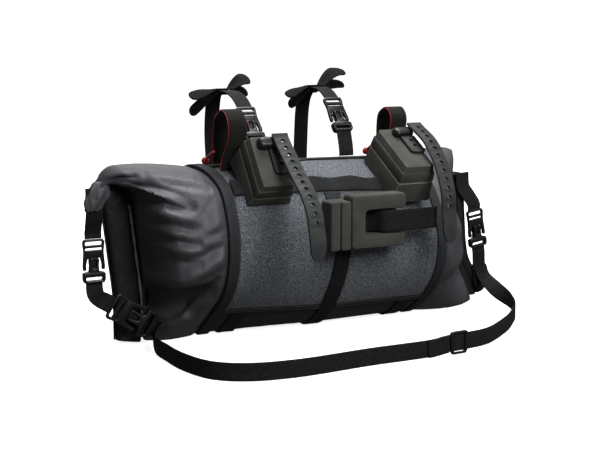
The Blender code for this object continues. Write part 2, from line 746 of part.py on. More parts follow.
FACE = BAG_RADIUS + BLOCK_DEPTH
REAR = BAG_RADIUS - 0.002
BLOCKS = {
    # tilt in degrees, centre x, height of the face, clearance under the hanger's front leg
    "left": (35.0, -0.091, 0.067, 0.0020),
    "right": (59.0, 0.093, 0.079, 0.0050),
}
face_tops = {}
for label, (tilt, x, face_height, clearance) in BLOCKS.items():
    plane = Tilted(tilt)
    high = plane.under(hanger_paths[label], clearance)
    low = high - face_height
    face_tops[label] = high

    def layer(out, centre=x, start=low, end=high, tilted=plane):
        """Four corners of the block at a distance from the axis."""
        grow = BLOCK_TAPER * (FACE - out) / BLOCK_DEPTH
        half = BLOCK_WIDTH / 2 + grow
        bottom, top = start - grow / 2, end - grow / 2
        return [tilted.at(centre - half, out, bottom), tilted.at(centre + half, out, bottom),
                tilted.at(centre + half, out, top), tilted.at(centre - half, out, top)]

    seam = FACE - BLOCK_SEAM
    front = boxed("block_front_" + label, layer(seam), layer(FACE), foam)
    bevel(front, BLOCK_EDGE, 2)
    rear = boxed("block_rear_" + label, layer(REAR), layer(seam - SEAT_GAP), foam)
    bevel(rear, BLOCK_EDGE / 2, 1)
    reach = BLOCK_WIDTH
    envelope = [[Vector((at, y, z)) for y, z in skin_outline(at, OVER_TRIM)]
                for at in (x - reach, x, x + reach)]
    cutter = loft("bag_cutter_" + label, envelope, foam)
    cut(rear, cutter)


# Rubber straps of the blocks
def perforated(name, path, holes, first, width, thickness, finish):
    """A rubber strap along a path with a row of round holes and a tapered tip."""
    frames = path_frames(path, (1, 0, 0))
    total = sum((Vector(b) - Vector(a)).length for a, b in zip(path, path[1:]))

    def place(s, w):
        """A point of the strap's middle layer."""
        centre, normal = strap_at(frames, max(0.0, min(total, s)))
        return centre + Vector((w, 0, 0)), normal

    half = width / 2
    points, faces, index = [], [], {}

    def corner(s, w):
        """Index of a shared point."""
        key = (round(s, 6), round(w, 6))
        if key not in index:
            index[key] = len(points)
            points.append(place(s, w))
        return index[key]

    def plain(s0, s1, w0, w1):
        """Two faces between two lines across the strap."""
        for left, right in ((-1, 0), (0, 1)):
            faces.append([corner(s0, left * w0), corner(s0, right * w0),
                          corner(s1, right * w1), corner(s1, left * w1)])

    begin = first - HOLE_PITCH / 2
    plain(0.0, begin, half, half)
    for k in range(holes):
        s0 = begin + k * HOLE_PITCH
        sm, s1 = s0 + HOLE_PITCH / 2, s0 + HOLE_PITCH
        rim = [(s0, -half), (s0, 0), (s0, half), (sm, half), (s1, half), (s1, 0), (s1, -half),
               (sm, -half)]
        hole = [(sm + HOLE_SIZE / 2 * math.cos(math.radians(a)),
                 HOLE_SIZE / 2 * math.sin(math.radians(a)))
                for a in (225, 180, 135, 90, 45, 0, -45, -90)]
        for a in range(8):
            b = (a + 1) % 8
            faces.append([corner(*rim[a]), corner(*rim[b]), corner(*hole[b]), corner(*hole[a])])
    s = begin + holes * HOLE_PITCH
    taper = [(1.0, 0.0), (0.98, 0.45), (0.80, 0.75), (0.50, 0.93), (0.25, 1.0)]
    for (w0, a0), (w1, a1) in zip(taper, taper[1:]):
        plain(s + (total - s) * a0, s + (total - s) * a1, half * w0, half * w1)
    count = len(points)
    vertices = [p + n * thickness / 2 for p, n in points]
    vertices += [p - n * thickness / 2 for p, n in points]
    edges = {}
    for face in faces:
        for a, b in zip(face, face[1:] + face[:1]):
            edges[(a, b)] = edges.get((a, b), 0) + 1
    solid = [tuple(face) for face in faces]
    solid += [tuple(count + a for a in reversed(face)) for face in faces]
    solid += [(a, b, count + b, count + a) for a, b in edges if (b, a) not in edges]
    return make_object(name, vertices, solid, finish)


TAILS = {
    # keeper x, short strap x, tail x, keeper below the face's top, tail reach and drop, then the
    # tail's route as shares of them
    "left": (-0.092, -0.083, -0.079, 0.013, 0.087, 0.124,
             [(0.00, 0.00), (0.19, 0.12), (0.51, 0.315), (0.73, 0.435), (0.90, 0.59),
              (0.955, 0.71), (1.00, 0.85), (1.00, 1.00)]),
    "right": (0.100, 0.103, 0.117, 0.015, 0.076, 0.130,
              [(0.00, 0.00), (0.37, 0.11), (0.63, 0.255), (0.79, 0.39), (0.91, 0.555),
               (0.94, 0.715), (0.98, 0.86), (1.00, 1.00)]),
}
KEEPER_WIDTH = RUBBER_WIDTH + 0.006
for label, (keeper_x, base_x, tail_x, below_top, reach, drop, route) in TAILS.items():
    plane = Tilted(BLOCKS[label][0])
    keeper_up = face_tops[label] - below_top
    base_out = FACE + SEAT_GAP + RUBBER_THICKNESS / 2
    keeper_low, keeper_high = keeper_up - KEEPER_LENGTH / 2, keeper_up + KEEPER_LENGTH / 2
    corners = [(-1, keeper_low), (1, keeper_low), (1, keeper_high), (-1, keeper_high)]
    keeper = boxed("keeper_" + label,
                   [plane.at(keeper_x + s * KEEPER_WIDTH / 2, FACE + SEAT_GAP, up)
                    for s, up in corners],
                   [plane.at(keeper_x + s * KEEPER_WIDTH / 2, FACE + KEEPER_HEIGHT, up)
                    for s, up in corners], buckle_plastic)
    bevel(keeper, KEEPER_HEIGHT / 4, 1)
    length = 3 * HOLE_PITCH
    short = [tuple(plane.at(base_x, base_out, keeper_low - SEAT_GAP - length * k / 3))
             for k in range(4)]
    perforated("rubber_base_" + label, short, 2, HOLE_PITCH * 0.8, RUBBER_WIDTH,
               RUBBER_THICKNESS, rubber)
    tail_out = FACE + KEEPER_HEIGHT + SEAT_GAP + RUBBER_THICKNESS / 2
    start = plane.at(tail_x, tail_out, keeper_up)
    path = [tuple(plane.at(tail_x, tail_out, keeper_high))]
    path += [(tail_x, start.y - away * reach, start.z - down * drop) for away, down in route]
    perforated("rubber_tail_" + label, smooth_path(path, 4), TAIL_HOLES, HOLE_PITCH,
               RUBBER_WIDTH, RUBBER_THICKNESS, rubber)

# Head tube pad
bag_front = max(-p[0] for p in skin_outline(0.0, OVER_TRIM))
pad_back = -(bag_front + SEAT_GAP)
pad_front = pad_back - PAD_DEPTH
shoulder_top = PAD_TOP - 0.006
pad_outline = [
    (PAD_LEFT, PAD_BOTTOM), (PAD_RIGHT, PAD_BOTTOM), (PAD_RIGHT, PAD_TOP),
    (-0.001, PAD_TOP), (-0.006, shoulder_top), (PAD_LEFT, shoulder_top),
]
pad = loft("head_tube_pad", [[Vector((x, y, z)) for x, z in pad_outline]
                             for y in (pad_front, pad_back)], foam, 30)
bevel(pad, 0.004, 2)
slot_middle = (PAD_BOTTOM + PAD_TOP) / 2 - 0.001


def pad_cutter(name, x0, x1, z0, z1, depth):
    """A box that reaches into the pad from its front."""
    corners = [(x0, z0), (x1, z0), (x1, z1), (x0, z1)]
    cutter = loft(name, [[Vector((x, y, z)) for x, z in corners]
                         for y in (pad_front - PAD_DEPTH, pad_front + depth)], foam, 30)
    cut(pad, cutter)


pad_cutter("pad_slot_cutter", PAD_SLOT_LEFT, PAD_RIGHT + PAD_DEPTH,
           slot_middle - PAD_SLOT_HEIGHT / 2, slot_middle + PAD_SLOT_HEIGHT / 2, PAD_SLOT_DEPTH)
groove_x = PAD_LEFT + 0.014
pad_cutter("pad_groove_cutter", groove_x - PAD_GROOVE / 2, groove_x + PAD_GROOVE / 2,
           PAD_BOTTOM - PAD_GROOVE, PAD_TOP + PAD_GROOVE, PAD_GROOVE)
slot_floor = pad_front + PAD_SLOT_DEPTH
strap_start = PAD_SLOT_LEFT + 0.006
pad_route = [
    (strap_start, slot_floor - TRIM_GAP - WEBBING_THICKNESS / 2),
    (strap_start + 0.006, slot_floor - TRIM_GAP - WEBBING_THICKNESS / 2),
    (strap_start + 0.013, slot_floor - PAD_SLOT_DEPTH * 0.45),
    (strap_start + 0.020, slot_floor - PAD_SLOT_DEPTH * 0.90),
    (PAD_RIGHT - 0.010, pad_front - 0.001),
    ((PAD_RIGHT + PAD_STRAP_END) / 2, pad_front),
    (PAD_STRAP_END, pad_front + 0.001),
]
ribbon("pad_strap", smooth_path([(x, y, slot_middle) for x, y in pad_route], 3), (0, 0, 1),
       PAD_STRAP_WIDTH, WEBBING_THICKNESS, webbing)

# Straps and buckles over the rolled ends
def from_end(centre, axis, length, lead):
    """Three points of a strap in line with a buckle, from the buckle's end outward."""
    way = Vector(axis).normalized()
    end = Vector(centre) + way * (length / 2 + TRIM_GAP)
    return [tuple(end + way * lead * share) for share in (0, 0.5, 1)]


def end_strap(label, points):
    """A flat webbing strap across an end."""
    ribbon(label, smooth_path(points, 4), (1, 0, 0), WEBBING_WIDTH, WEBBING_THICKNESS, webbing)


LEAD = 0.008
strap_depth = SEAT_GAP + WEBBING_THICKNESS / 2
left_front = -(ROLL_THICKNESS / 2 + strap_depth)
right_front = ROLL_FOLD - (ROLL_WIDTH / 2 + strap_depth)
left_buckle = Vector((left_horn[0] - 0.006, 0.0, BAG_RADIUS * 0.99))
buckle_y = right_front - SMALL_BUCKLE_THICKNESS / 2 - SEAT_GAP
right_buckle = Vector((right_horn[0] + 0.022, buckle_y, BAG_RADIUS))
left_down = Vector((0, 0, -1))
right_down = Vector((0.15, 0, -0.99)).normalized()
for label, centre, down in (("left", left_buckle, left_down),
                            ("right", right_buckle, right_down)):
    buckle("end_buckle_" + label, centre, down, (1, 0, 0), SMALL_BUCKLE_LENGTH,
           SMALL_BUCKLE_WIDTH, SMALL_BUCKLE_THICKNESS)
sewn_x = left_horn[0] - 0.007
end_strap("end_strap_left", [
    (sewn_x, left_front, left_horn[2] + 0.006), (sewn_x, left_front, left_horn[2] - 0.020)]
    + from_end(left_buckle, -left_down, SMALL_BUCKLE_LENGTH, LEAD)[::-1])
right_leads = from_end(right_buckle, -right_down, SMALL_BUCKLE_LENGTH, LEAD)[::-1]
sewn_edge = Vector((right_horn[0] + 0.003, right_front, right_horn[2] - 0.016))
end_strap("end_strap_right", [
    (right_horn[0] + 0.001, right_front, right_horn[2] + 0.002), tuple(sewn_edge),
    tuple(sewn_edge.lerp(Vector(right_leads[0]), 0.5))] + right_leads)

# Large buckle of the shoulder strap, in front of the left roll's foot
large_axis = Vector((0.843, -0.05, -0.537)).normalized()
large_up = (0.54, 0, 0.84)
large_y = left_front - strap_depth - SEAT_GAP - LARGE_BUCKLE_THICKNESS / 2
large_buckle = Vector((left_foot[0] - 0.003, large_y - 0.004, 0.0365))
buckle("shoulder_buckle", large_buckle, large_axis, large_up, LARGE_BUCKLE_LENGTH,
       LARGE_BUCKLE_WIDTH, LARGE_BUCKLE_THICKNESS)
ribbon("roll_tab_left", smooth_path([
    (left_foot[0] + 0.004, left_front, 0.022), (left_foot[0] - 0.004, left_front, 0.032),
    (left_foot[0] - 0.012, left_front, 0.040)], 3),
    (0.6, 0, 0.8), WEBBING_WIDTH, WEBBING_THICKNESS, webbing)
SHORT_LEAD = 0.003
BEND_STEPS = 10
first, _, leave = map(Vector, from_end(left_buckle, left_down, SMALL_BUCKLE_LENGTH, SHORT_LEAD))
last, _, arrive = map(Vector, from_end(large_buckle, -large_axis, LARGE_BUCKLE_LENGTH, SHORT_LEAD))
handle = (arrive - leave).length / 2
lower_points, lower_across = [tuple(first)], [(1, 0, 0)]
for k in range(BEND_STEPS + 1):
    t = k / BEND_STEPS
    hull = [leave, leave + left_down * handle, arrive - large_axis * handle, arrive]
    while len(hull) > 1:
        hull = [a.lerp(b, t) for a, b in zip(hull, hull[1:])]
    lower_points.append(tuple(hull[0]))
    lower_across.append(tuple(Vector((1, 0, 0)).lerp(Vector(large_up), t)))
lower_points.append(tuple(last))
lower_across.append(large_up)
ribbon("end_strap_left_lower", lower_points, lower_across, WEBBING_WIDTH, WEBBING_THICKNESS,
       webbing)
end_strap("end_strap_right_lower",
          from_end(right_buckle, right_down, SMALL_BUCKLE_LENGTH, LEAD)
          + [(right_buckle.x + 0.009, right_front - 0.001, 0.045),
             (right_buckle.x + 0.013, right_front - 0.001, 0.024)])

# Shoulder strap, on its edge on the floor in front of the bag
edge_up = SHOULDER_WIDTH / 2 + 0.0004
large_leads = from_end(large_buckle, large_axis, LARGE_BUCKLE_LENGTH, LEAD)
tab_front = right_front - SHOULDER_THICKNESS - SEAT_GAP
SHOULDER_ROUTE = [
    # x and y as shares of SHOULDER_REACH, height over the strap's rest height, width direction
    (1.225, -0.180, 0.010, (0.6, 0, 0.8)),
    (1.210, -0.340, 0.002, (0, 0, 1)),
    (1.115, -0.505, 0.000, (0, 0, 1)),
    (0.985, -0.645, 0.000, (0, 0, 1)),
    (0.850, -0.765, 0.000, (0, 0, 1)),
    (0.625, -0.915, 0.000, (0, 0, 1)),
    (0.430, -0.997, GLIDE_BAR, (0, 0, 1)),
    (0.300, -1.007, GLIDE_BAR, (0, 0, 1)),
    (0.180, -1.000, 0.000, (0, 0, 1)),
    (-0.150, -0.995, 0.000, (0, 0, 1)),
    (-0.470, -1.010, 0.000, (0, 0, 1)),
    (-0.650, -0.998, 0.000, (0, 0, 1)),
    (-0.770, -0.970, 0.000, (0, 0, 1)),
    (-0.880, -0.910, 0.000, (0, 0, 1)),
    (-0.955, -0.815, 0.000, (0, 0, 1)),
    (-1.000, -0.640, 0.000, (0, 0, 1)),
    (-1.008, -0.460, 0.000, (0, 0, 1)),
    (-1.004, -0.290, 0.001, (0, 0, 1)),
]
control = [
    (right_buckle.x + 0.009, tab_front - 0.0015, 0.048, 1, 0, 0.1),
    (right_buckle.x + 0.013, tab_front - 0.0045, 0.035, 1, 0, 0.2),
]
control += [(x * SHOULDER_REACH, y * SHOULDER_REACH, edge_up + up, *wide)
            for x, y, up, wide in SHOULDER_ROUTE]
control += [(*point, *large_up) for point in large_leads[::-1]]
shoulder = smooth_path(control, 3)
shoulder_path = [point[:3] for point in shoulder]
shoulder_across = [point[3:] for point in shoulder]
ribbon("shoulder_strap", shoulder_path, shoulder_across, SHOULDER_WIDTH, SHOULDER_THICKNESS,
       webbing)

# Strap adjuster that the shoulder strap runs through, and the sewn end beside it
shoulder_frames = path_frames(shoulder_path, shoulder_across)
GLIDE_X = 0.365 * SHOULDER_REACH
glide_index = min(range(len(shoulder_frames)),
                  key=lambda i: abs(shoulder_frames[i][0].x - GLIDE_X)
                  + (0 if shoulder_frames[i][0].y < -SHOULDER_REACH / 2 else 1))
glide_centre, glide_up_way, glide_normal = shoulder_frames[glide_index]
glide_along = glide_up_way.cross(glide_normal)
strap_half = SHOULDER_THICKNESS / 2


def glide_ring(along, half_height, half_depth):
    """A rectangle round the strap."""
    centre = glide_centre + glide_along * along
    return [centre + glide_up_way * a * half_height + glide_normal * b * half_depth
            for a, b in ((-1, -1), (1, -1), (1, 1), (-1, 1))]


inner_height = SHOULDER_WIDTH / 2 + SEAT_GAP
inner_depth = strap_half + 3 * SEAT_GAP
outer_height = SHOULDER_WIDTH / 2 + GLIDE_BAR
outer_depth = inner_depth + GLIDE_BAR / 2
glide_stations = (-GLIDE_WIDTH / 2, GLIDE_WIDTH / 2)
hollow_loft("strap_adjuster", [glide_ring(a, outer_height, outer_depth) for a in glide_stations],
            [glide_ring(a, inner_height, inner_depth) for a in glide_stations], buckle_plastic)
sewn_end = [centre - Vector((0, SHOULDER_THICKNESS + SEAT_GAP, 0))
            for centre, _, _ in shoulder_frames
            if 0.18 * SHOULDER_REACH < centre.x < 0.30 * SHOULDER_REACH
            and centre.y < -SHOULDER_REACH / 2]
ribbon("strap_sewn_end", [tuple(p) for p in sewn_end], (0, 0, 1), SHOULDER_WIDTH,
       SHOULDER_THICKNESS, webbing)
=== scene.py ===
"""Bicycle handlebar bag: a roll-closed dry bag in a cloth harness, dressed for its portrait."""
import math
from bisect import bisect_right

import bmesh
import bpy
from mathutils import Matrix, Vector


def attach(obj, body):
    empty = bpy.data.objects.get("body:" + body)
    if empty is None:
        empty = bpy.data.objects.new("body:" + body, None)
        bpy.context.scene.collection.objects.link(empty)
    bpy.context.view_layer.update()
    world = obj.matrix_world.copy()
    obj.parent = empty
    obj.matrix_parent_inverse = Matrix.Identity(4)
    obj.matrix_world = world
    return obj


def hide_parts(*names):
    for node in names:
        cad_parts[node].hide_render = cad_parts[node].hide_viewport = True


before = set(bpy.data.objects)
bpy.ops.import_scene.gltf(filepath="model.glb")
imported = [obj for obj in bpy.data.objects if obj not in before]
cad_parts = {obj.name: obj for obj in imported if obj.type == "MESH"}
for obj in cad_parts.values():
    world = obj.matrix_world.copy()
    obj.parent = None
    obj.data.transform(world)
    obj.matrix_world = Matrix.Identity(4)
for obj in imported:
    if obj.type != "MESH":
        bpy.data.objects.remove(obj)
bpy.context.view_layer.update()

MM = 0.001


# Studio. A bowl of pale painted board glows a little by itself and is left out of reflections,
# so that black cloth stays black. Large softboxes hang overhead and in front, and two weak
# ones fill the right and the back. The camera stands where the photographer stood.
def colour(hex_value):
    """An sRGB hex colour as the linear values that a shader takes."""
    parts = [int(hex_value[i:i + 2], 16) / 255 for i in (0, 2, 4)]
    return (*[c / 12.92 if c <= 0.04045 else ((c + 0.055) / 1.055) ** 2.4 for c in parts], 1.0)


def add(tree, kind, settings=None, stops=None, **inputs):
    """Adds a shader node. An input is a value or a socket, named by its label or as i0, i1."""
    made = tree.nodes.new("ShaderNode" + kind)
    for key, value in (settings or {}).items():
        setattr(made, key, value)
    if stops:
        elements = made.color_ramp.elements
        while len(elements) < len(stops):
            elements.new(0.5)
        for element, (position, shade) in zip(elements, stops):
            element.position = position
            element.color = colour(shade)
    for key, value in inputs.items():
        socket = made.inputs[int(key[1:]) if key[1:].isdigit() else key.replace("_", " ")]
        if isinstance(value, bpy.types.NodeSocket):
            tree.links.new(value, socket)
        else:
            socket.default_value = value
    return made


def new_finish(name, roughness, **inputs):
    """A Principled material with its plain values, its tree and its place in metres."""
    made = bpy.data.materials.new(name)
    made.use_nodes = True
    tree = made.node_tree
    shader = tree.nodes["Principled BSDF"]
    shader.inputs["Roughness"].default_value = roughness
    for key, value in inputs.items():
        shader.inputs[key.replace("_", " ")].default_value = value
    return made, tree, shader, add(tree, "TexCoord").outputs["Object"]


def painted_board():
    """Matt white paint on board: an even pale ground with the faintest mottle."""
    made, tree, shader, where = new_finish("matt_painted_board", 0.9, Specular_IOR_Level=0.1,
                                           Emission_Color=colour("ffffff"),
                                           Emission_Strength=0.85)
    mottle = add(tree, "TexNoise", Vector=where, Scale=1.5)
    paint = add(tree, "ValToRGB", stops=[(0.3, "f6f6f6"), (0.7, "fafafa")],
                Fac=mottle.outputs["Fac"])
    tree.links.new(paint.outputs["Color"], shader.inputs["Base Color"])
    return made


BOWL_FLAT, BOWL_RADIUS, BOWL_HEIGHT = 2.6, 4.2, 3.0
BOWL_SIDES, BOWL_RINGS = 96, 16
bowl_points, bowl_faces = [(0.0, 0.0, 0.0)], []
for ring in range(BOWL_RINGS + 1):
    turn = math.pi / 2 * max(0, ring - 1) / (BOWL_RINGS - 1)
    out = BOWL_FLAT + (BOWL_RADIUS - BOWL_FLAT) * math.sin(turn) if ring else BOWL_FLAT / 2
    bowl_points += [(out * math.cos(math.tau * k / BOWL_SIDES),
                     out * math.sin(math.tau * k / BOWL_SIDES),
                     BOWL_HEIGHT * (1 - math.cos(turn))) for k in range(BOWL_SIDES)]
for k in range(BOWL_SIDES):
    after = (k + 1) % BOWL_SIDES
    bowl_faces.append((0, 1 + k, 1 + after))
    for ring in range(BOWL_RINGS):
        low = 1 + ring * BOWL_SIDES
        bowl_faces.append((low + k, low + k + BOWL_SIDES, low + after + BOWL_SIDES, low + after))
bowl_mesh = bpy.data.meshes.new("seamless_floor")
bowl_mesh.from_pydata(bowl_points, [], bowl_faces)
bowl_mesh.shade_smooth()
bowl_mesh.materials.append(painted_board())
bowl = bpy.data.objects.new("seamless_floor", bowl_mesh)
bowl.visible_glossy = bowl.visible_diffuse = False
bpy.context.scene.collection.objects.link(bowl)


def softbox(name, place, target, size, power):
    """A square area light that faces a point. size is in metres and power in watts."""
    lamp = bpy.data.lights.new(name, "AREA")
    lamp.shape = "SQUARE"
    lamp.size = size
    lamp.energy = power
    made = bpy.data.objects.new(name, lamp)
    made.location = place
    made.rotation_euler = (Vector(target) - Vector(place)).to_track_quat("-Z", "Y").to_euler()
    bpy.context.scene.collection.objects.link(made)


BAG_MIDDLE = (0.0, 0.0, 0.1)
softbox("overhead_softbox", (0.20, 0.20, 1.75), BAG_MIDDLE, 1.0, 33)
softbox("front_softbox", (0.15, -1.70, 1.25), (-0.05, -0.05, 0.1), 0.9, 26)
softbox("right_fill", (1.30, -0.90, 0.90), BAG_MIDDLE, 0.7, 3)
softbox("back_fill", (0.40, 1.90, 1.00), BAG_MIDDLE, 0.9, 5)
WORLD_GLOW = 0.10
world = bpy.data.worlds.new("studio_air")
world.use_nodes = True
world.node_tree.nodes["Background"].inputs["Color"].default_value = colour("ffffff")
world.node_tree.nodes["Background"].inputs["Strength"].default_value = WORLD_GLOW
bpy.context.scene.world = world
bpy.context.scene.view_settings.view_transform = "Standard"

CAMERA_TURN, CAMERA_DOWN = 27.7247, 9.0687
lens = bpy.data.cameras.new("portrait_camera")
lens.sensor_width = 36.0
lens.lens = 71.217
camera = bpy.data.objects.new("portrait_camera", lens)
camera.location = (-0.67326, -1.27325, 0.35020)
camera.rotation_euler = (math.radians(90 - CAMERA_DOWN), 0.0, math.radians(-CAMERA_TURN))
bpy.context.scene.collection.objects.link(camera)
bpy.context.scene.camera = camera


# Dry bag. One tube of thin nylon, coated on its outside and welded, with no frame. Its middle
# fills the harness. Each end is pressed flat to a mouth, so its cloth gathers into a hood over
# the top, a belly at the foot and creases between them.
RADIUS, HALF = 0.100, 0.145
WALL, GAP = 0.0020, 0.0005
TRIM_GAP, WEB_THICK = 0.0008, 0.0015
SOLE = TRIM_GAP + WEB_THICK
SECTION = [
    # outline at every 15 degrees from the underside up the front: left, middle, right
    (1.01, 1.02, 1.02), (0.880, 0.990, 0.985), (0.825, 0.945, 0.945), (0.825, 0.912, 0.940),
    (0.880, 0.908, 0.960), (0.945, 0.930, 0.985), (1.000, 0.980, 0.990), (1.050, 1.025, 0.970),
    (1.095, 1.065, 0.955), (1.125, 1.085, 0.955), (1.070, 1.060, 0.970), (1.020, 1.045, 1.010),
    (1.000, 1.030, 1.010), (1.000, 1.020, 1.000), (1.000, 1.010, 1.000), (1.000, 1.000, 1.000),
    (1.000, 0.990, 0.995), (0.990, 0.985, 0.990), (0.985, 0.985, 0.985), (0.985, 0.985, 0.985),
    (0.995, 0.995, 0.995), (1.010, 1.010, 1.010), (1.040, 1.040, 1.040), (1.040, 1.040, 1.040),
]
END_ROWS = [
    # share of the end's length, then shares of the outline: full waist, lean waist, crown,
    # height, horn. The left end is full down to its foot, and the right one lean all round
    (0.00, 0.975, 0.975, 0.975, 0.975, 0.00), (0.12, 0.995, 0.990, 1.000, 1.010, 0.00),
    (0.30, 0.985, 0.930, 0.990, 1.035, 0.05), (0.50, 0.980, 0.760, 0.940, 1.060, 0.20),
    (0.68, 0.960, 0.500, 0.840, 1.070, 0.40), (0.82, 0.880, 0.280, 0.660, 1.065, 0.62),
    (0.92, 0.600, 0.150, 0.410, 1.050, 0.82), (1.00, 0.085, 0.085, 0.135, 1.030, 1.00),
]
ENDS = {
    # side: length, lean over the height, horn at the top and foot, top and foot of the gather
    -1: (0.071, 0.012, 0.046, 0.004, (0.76, 0.86), (0.52, 0.74)),
    1: (0.077, -0.008, 0.004, 0.022, (0.55, 1.00), (0.55, 1.00)),
}
# The left hood hangs over the end of its roll: how steeply, and from how far out. Its edge
# climbs along the end, and the hollow under it starts nearer the harness low down
DROOP, DROOP_FROM = 30.0, 0.240
HOOD_SLOPE, HOOD_FROM = 0.35, 0.9
HOLLOW_SLOPE, HOLLOW_LEVEL, HOLLOW_MOST = 0.30, 0.58, (-0.09, 0.10)
FOOT_LEAN = (0.15, 0.55)


def curve(before, start, end, after, t):
    """A Catmull-Rom value between start and end."""
    return 0.5 * (2 * start + (end - before) * t
                  + (2 * before - 5 * start + 4 * end - after) * t * t
                  + (3 * start - before - 3 * end + after) * t ** 3)


def ease(value, low, high):
    """0 below low, 1 above high and a smooth rise between."""
    t = max(0.0, min(1.0, (value - low) / (high - low)))
    return t * t * (3 - 2 * t)


def outline(x, angle, floor=SOLE):
    """Depth and height of the bag at x, at an angle up from the front."""
    share = max(-1.0, min(1.0, x / HALF))
    column, blend = (0, -share) if share < 0 else (2, share)
    position = (angle + 90) / 15 % 24
    row, t = int(position), position - int(position)
    mid, end = (curve(*[SECTION[(row + k) % 24][c] for k in (-1, 0, 1, 2)], t)
                for c in (1, column))
    reach = RADIUS * (mid * (1 - blend) + end * blend)
    turn = math.radians(angle)
    return -reach * math.cos(turn), max(floor, RADIUS + reach * math.sin(turn))


def on_bag(x, angle, lift):
    """A point over the harness cloth."""
    y, z = outline(x, angle)
    (y0, z0), (y1, z1) = outline(x, angle - 1), outline(x, angle + 1)
    along = Vector((0, y1 - y0, z1 - z0)).normalized()
    return Vector((x, y - along.z * lift, z + along.y * lift))


def mesh_piece(name, points, faces, finish, uv=None, sharp=40):
    """A mesh object of outward faces. uv gives each point its place on the cloth in metres."""
    mesh = bpy.data.meshes.new(name)
    mesh.from_pydata([tuple(p) for p in points], [], faces)
    shape = bmesh.new()
    shape.from_mesh(mesh)
    bmesh.ops.recalc_face_normals(shape, faces=shape.faces)
    shape.to_mesh(mesh)
    shape.free()
    mesh.shade_smooth()
    mesh.set_sharp_from_angle(angle=math.radians(sharp))
    if uv:
        layer = mesh.uv_layers.new(name="cloth")
        for loop in mesh.loops:
            layer.uv[loop.index].vector = uv[loop.vertex_index]
    mesh.materials.append(finish)
    made = bpy.data.objects.new(name, mesh)
    bpy.context.scene.collection.objects.link(made)
    return made


def done(piece, slot, *nodes):
    """Fixes a piece to the bag's one body and hides the nodes it stands for. slot is not used."""
    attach(piece, "root")
    if nodes:
        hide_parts(*nodes)
    return piece


def coated_nylon(name, dark, pale, gloss_low):
    """Plain-woven nylon with a polyurethane coat: near black, with a soft satin gloss that
    breaks up over small crinkles. Its 0.3 mm threads are drawn at 1.2 mm to show at all."""
    made, tree, shader, where = new_finish(name, 0.5, Specular_IOR_Level=0.45)
    cloud = add(tree, "TexNoise", Vector=where, Scale=26.0, Detail=4.0)
    shade = add(tree, "ValToRGB", stops=[(0.30, dark), (0.75, pale)],
                Fac=cloud.outputs["Fac"])
    tree.links.new(shade.outputs["Color"], shader.inputs["Base Color"])
    gloss = add(tree, "MapRange", Value=cloud.outputs["Fac"], To_Min=gloss_low,
                To_Max=gloss_low + 0.12)
    tree.links.new(gloss.outputs["Result"], shader.inputs["Roughness"])
    crinkle = add(tree, "TexNoise", Vector=where, Scale=75.0, Detail=3.0, Distortion=0.6)
    thread = add(tree, "TexNoise", Vector=where, Scale=850.0, Detail=1.0)
    broad = add(tree, "Bump", Strength=0.35, Distance=0.0035, Height=crinkle.outputs["Fac"])
    fine = add(tree, "Bump", Strength=0.10, Distance=0.0005, Height=thread.outputs["Fac"],
               Normal=broad.outputs["Normal"])
    tree.links.new(fine.outputs["Normal"], shader.inputs["Normal"])
    return made


nylon = coated_nylon("coated_nylon", "3f4043", "505155", 0.48)
# a paler copy of the coated nylon, which is a painted highlight along the roll's inner rim
hem_painted_highlight = coated_nylon("coated_nylon_painted_highlight", "58595b", "7c7d7f", 0.40)
# a darker copy of the coated nylon: painted shade on the rolls and on the flat necks of the mouths
nylon_painted_shade = coated_nylon("coated_nylon_painted_shade", "0e0f10", "17181a", 0.55)


def mouth_reach(side, height, along=1.0, horn=1.0):
    """How far the cloth reaches from the middle at a height, on its way to the mouth."""
    length, lean, top_horn, foot_horn = ENDS[side][:4]
    rise = (height - RADIUS) / RADIUS
    corner = top_horn * ease(rise, 0.72, 1.0) + foot_horn * ease(-rise, 0.36, 1.0)
    return HALF + along * (length + lean * rise) + corner * horn


def end_row(t):
    """The four rows of an end round a share of its length, and the share between two."""
    row = max(k for k in range(len(END_ROWS) - 1) if END_ROWS[k][0] <= t or k == 0)
    rows = [END_ROWS[max(0, min(len(END_ROWS) - 1, row + k))] for k in (-1, 0, 1, 2)]
    return rows, (t - rows[1][0]) / (rows[2][0] - rows[1][0])


def end_plain(side, t, angle):
    """A point of an end before its folds: the binding's outline drawn in to the mouth."""
    rows, share = end_row(t)
    crown, height, horn = (curve(*[r[c] for r in rows], share) for c in (3, 4, 5))
    y, z = outline(side * HALF, angle, 0.0)
    rise = (z - RADIUS) / RADIUS
    top, foot = ENDS[side][4:]
    low, high = top if rise > 0 else foot
    sharpness = ease(t, 0.25, 0.6)
    low, high = 0.55 + (low - 0.55) * sharpness, 1.0 + (high - 1.0) * sharpness
    fullness, hollow = 0.0, t
    if side < 0:
        least, most = HOLLOW_MOST
        shift = max(least, min(most, HOLLOW_SLOPE * (HOLLOW_LEVEL - z / (2 * RADIUS))))
        hollow += shift * ease(t, 0.2, 0.5) * min(1.0, (1 - t) / 0.1)
        fullness = 1.0 - ease(-rise, *FOOT_LEAN)
        climb = HOOD_SLOPE * (t - HOOD_FROM)
        low, high = low + climb, high + climb
    hollow_rows, hollow_share = end_row(min(1.0, hollow))
    full, lean = (curve(*[r[c] for r in hollow_rows], hollow_share) for c in (1, 2))
    waist = lean + (full - lean) * fullness
    depth = waist + (crown - waist) * ease(abs(rise), low, high)
    lifted = RADIUS * (1 + rise * height)
    out = mouth_reach(side, z, t, max(0.0, horn))
    if side < 0 and rise > 0:
        lifted -= DROOP * max(0.0, out - DROOP_FROM) ** 2
    return Vector((side * out, y * depth, max(0.0, lifted)))


